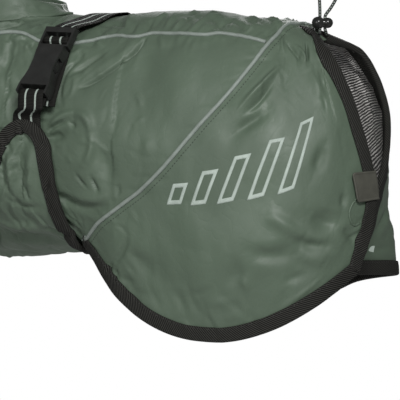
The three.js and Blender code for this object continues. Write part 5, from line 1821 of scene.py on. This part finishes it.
class COAT_OT_cord(bpy.types.Operator):
    """Builds the flecked elastic cord at the tail and its glossy lock"""

    bl_idname = "coat.cord"
    bl_label = "Cord and lock"

    def execute(self, context):
        path = spline(CORD_ROUTE[:, None, :], 0.7)[0][:, 0]
        mesh, length = tube_along(path, CORD_DIAMETER / 2)
        cord = coat_piece("tail_cord", mesh, "cord", ["elastic_cord"])
        lock = coat_piece("ball_lock", lock_mesh(), "lock", ["cord_lock"])
        return {"FINISHED"}


# ---------------------------------------------------------------- stage

CAMERA_TARGET = Vector((0.1186, 0.0, -0.162))
CAMERA_TURN, CAMERA_RISE = math.radians(22), math.radians(3.5)
CAMERA_AWAY, CAMERA_LENS, CAMERA_SENSOR = 1.7, 174.0, 36.0

# Name, place, size, watts and the point it looks at, in metres.
LIGHTS = (
    ("key", (0.95, -1.4, 0.78), (0.5, 0.4), 28.0, (0.12, 0.0, -0.12)),
    ("fill", (-0.1, -1.9, 0.25), (0.7, 0.7), 9.5, (0.10, 0.0, -0.12)),
    ("rear", (-0.4, 1.9, 0.7), (0.9, 0.9), 9.0, (0.1, 0.0, -0.12)),
)
WORLD_LIGHT, WORLD_SEEN = 0.16, 1.0
FLOOR_HALF = 3.0


def soft_light(name, place, size, power, target):
    data = bpy.data.lights.new(name, "AREA")
    data.energy = power
    data.shape = "RECTANGLE"
    data.size, data.size_y = size
    light = link(bpy.data.objects.new(name, data))
    light.location = place
    light.rotation_euler = (Vector(target) - Vector(place)).to_track_quat("-Z", "Y").to_euler()


def floor_mesh(floor_z):
    """A plain pale floor under the coat."""
    points = [(x * FLOOR_HALF, y * FLOOR_HALF, floor_z)
              for x, y in ((-1, -1), (1, -1), (1, 1), (-1, 1))]
    mesh = bpy.data.meshes.new("floor")
    mesh.from_pydata(points, [], [(0, 1, 2, 3)])
    paint, shader, w = bare_material("pale_paint", 0.8, 0.1)
    shade = w.effect("tint", Vector=w.object_place(), Tone=(0.9, 0.9, 0.9, 1),
                     Other_tone=(0.88, 0.88, 0.88, 1), Scale=3.0)
    w.join(shade["Color"], shader.inputs["Base Color"])
    mesh.materials.append(paint)
    return link(bpy.data.objects.new("floor", mesh))


def studio_world():
    """An even white surround that gives only a little light of its own."""
    world = bpy.data.worlds.new("studio")
    world.use_nodes = True
    tree = world.node_tree
    surround = tree.nodes["Background"]
    surround.inputs["Color"].default_value = (1, 1, 1, 1)
    seen = tree.nodes.new("ShaderNodeLightPath").outputs["Is Camera Ray"]
    tree.links.new(Wires(tree).ramp(seen, WORLD_LIGHT, WORLD_SEEN), surround.inputs["Strength"])
    return world


class COAT_OT_stage(bpy.types.Operator):
    """Builds the pale floor, the soft lights and the camera"""

    bl_idname = "coat.stage"
    bl_label = "Stage"

    def execute(self, context):
        level = math.cos(CAMERA_RISE)
        back = Vector((math.sin(CAMERA_TURN) * level, -math.cos(CAMERA_TURN) * level,
                       math.sin(CAMERA_RISE)))
        data = bpy.data.cameras.new("camera")
        data.lens, data.sensor_width = CAMERA_LENS, CAMERA_SENSOR
        camera = link(bpy.data.objects.new("camera", data))
        camera.location = CAMERA_TARGET + back * CAMERA_AWAY
        camera.rotation_euler = (-back).to_track_quat("-Z", "Y").to_euler()
        context.scene.camera = camera

        floor_mesh(context.scene.coat_sizes.floor_height)
        for light in LIGHTS:
            soft_light(*light)
        context.scene.world = studio_world()
        context.scene.view_settings.view_transform = "Standard"
        context.scene.view_settings.look = "None"
        return {"FINISHED"}


# ---------------------------------------------------------------- the add-on

class CoatSizes(bpy.types.PropertyGroup):
    """Sizes of the coat that a user may change"""

    mesh_step: bpy.props.FloatProperty(
        name="Mesh step", description="How far apart the cloth's points lie", default=1.4 * MM,
        min=0.8 * MM, max=6 * MM, unit="LENGTH", precision=4)
    crease_strength: bpy.props.FloatProperty(
        name="Crease strength", description="How deep the creases are", default=1.0, min=0.0,
        max=2.0, subtype="FACTOR")
    stripe_width: bpy.props.FloatProperty(
        name="Stripe width", description="Width of each pale stripe of the webbing",
        default=1.9 * MM, min=0.5 * MM, max=5 * MM, unit="LENGTH", precision=4)
    floor_height: bpy.props.FloatProperty(
        name="Floor height", description="Height of the floor under the worn coat",
        default=-1.2, min=-2.0, max=-0.3, unit="LENGTH")


def colour_property(name, description, default):
    return bpy.props.FloatVectorProperty(
        name=name, description=description, default=default, size=3, min=0.0, max=1.0,
        subtype="COLOR")


class CoatColours(bpy.types.PropertyGroup):
    """Colours of the coat that a user may change"""

    shell: colour_property("Shell", "Colour of the coated shell cloth", (0.081, 0.113, 0.080))
    lining: colour_property("Lining", "Colour of the ribbed lining", (0.19, 0.185, 0.178))
    tape: colour_property("Tape", "Colour of the binding and webbing", (0.0085, 0.0085, 0.0075))
    reflective: colour_property(
        "Reflective", "Colour of piping, print and stripes", (0.36, 0.42, 0.375))
    plastic: colour_property("Plastic", "Colour of the buckle and lock", (0.018, 0.0185, 0.0175))
    label: colour_property("Label", "Colour of the rubber label", (0.062, 0.062, 0.05))


BUILDERS = (
    COAT_OT_back_panel, COAT_OT_side_panels, COAT_OT_hind_panels, COAT_OT_belly_panel,
    COAT_OT_collar, COAT_OT_bindings, COAT_OT_piping, COAT_OT_straps, COAT_OT_buckle,
    COAT_OT_label, COAT_OT_half_round, COAT_OT_print, COAT_OT_cord, COAT_OT_stage,
)


class COAT_PT_panel(bpy.types.Panel):
    """Sizes, colours and the build steps of the coat"""

    bl_label = "Dog winter coat"
    bl_idname = "COAT_PT_panel"
    bl_space_type = "VIEW_3D"
    bl_region_type = "UI"
    bl_category = "Coat"

    def draw(self, context):
        for group in (context.scene.coat_sizes, context.scene.coat_colours):
            box = self.layout.box()
            for name in group.__annotations__:
                box.prop(group, name)
        for builder in BUILDERS:
            self.layout.operator(builder.bl_idname)


CLASSES = (CoatSizes, CoatColours, *BUILDERS, COAT_PT_panel)


def register():
    for each in CLASSES:
        bpy.utils.register_class(each)
    bpy.types.Scene.coat_sizes = bpy.props.PointerProperty(type=CoatSizes)
    bpy.types.Scene.coat_colours = bpy.props.PointerProperty(type=CoatColours)


def unregister():
    del bpy.types.Scene.coat_colours
    del bpy.types.Scene.coat_sizes
    for each in reversed(CLASSES):
        bpy.utils.unregister_class(each)


def main():
    register()
    for builder in BUILDERS:
        group, name = builder.bl_idname.split(".")
        if getattr(getattr(bpy.ops, group), name)() != {"FINISHED"}:
            raise RuntimeError(f"{builder.bl_label} wasn't built")


if __name__ == "__main__":
    main()
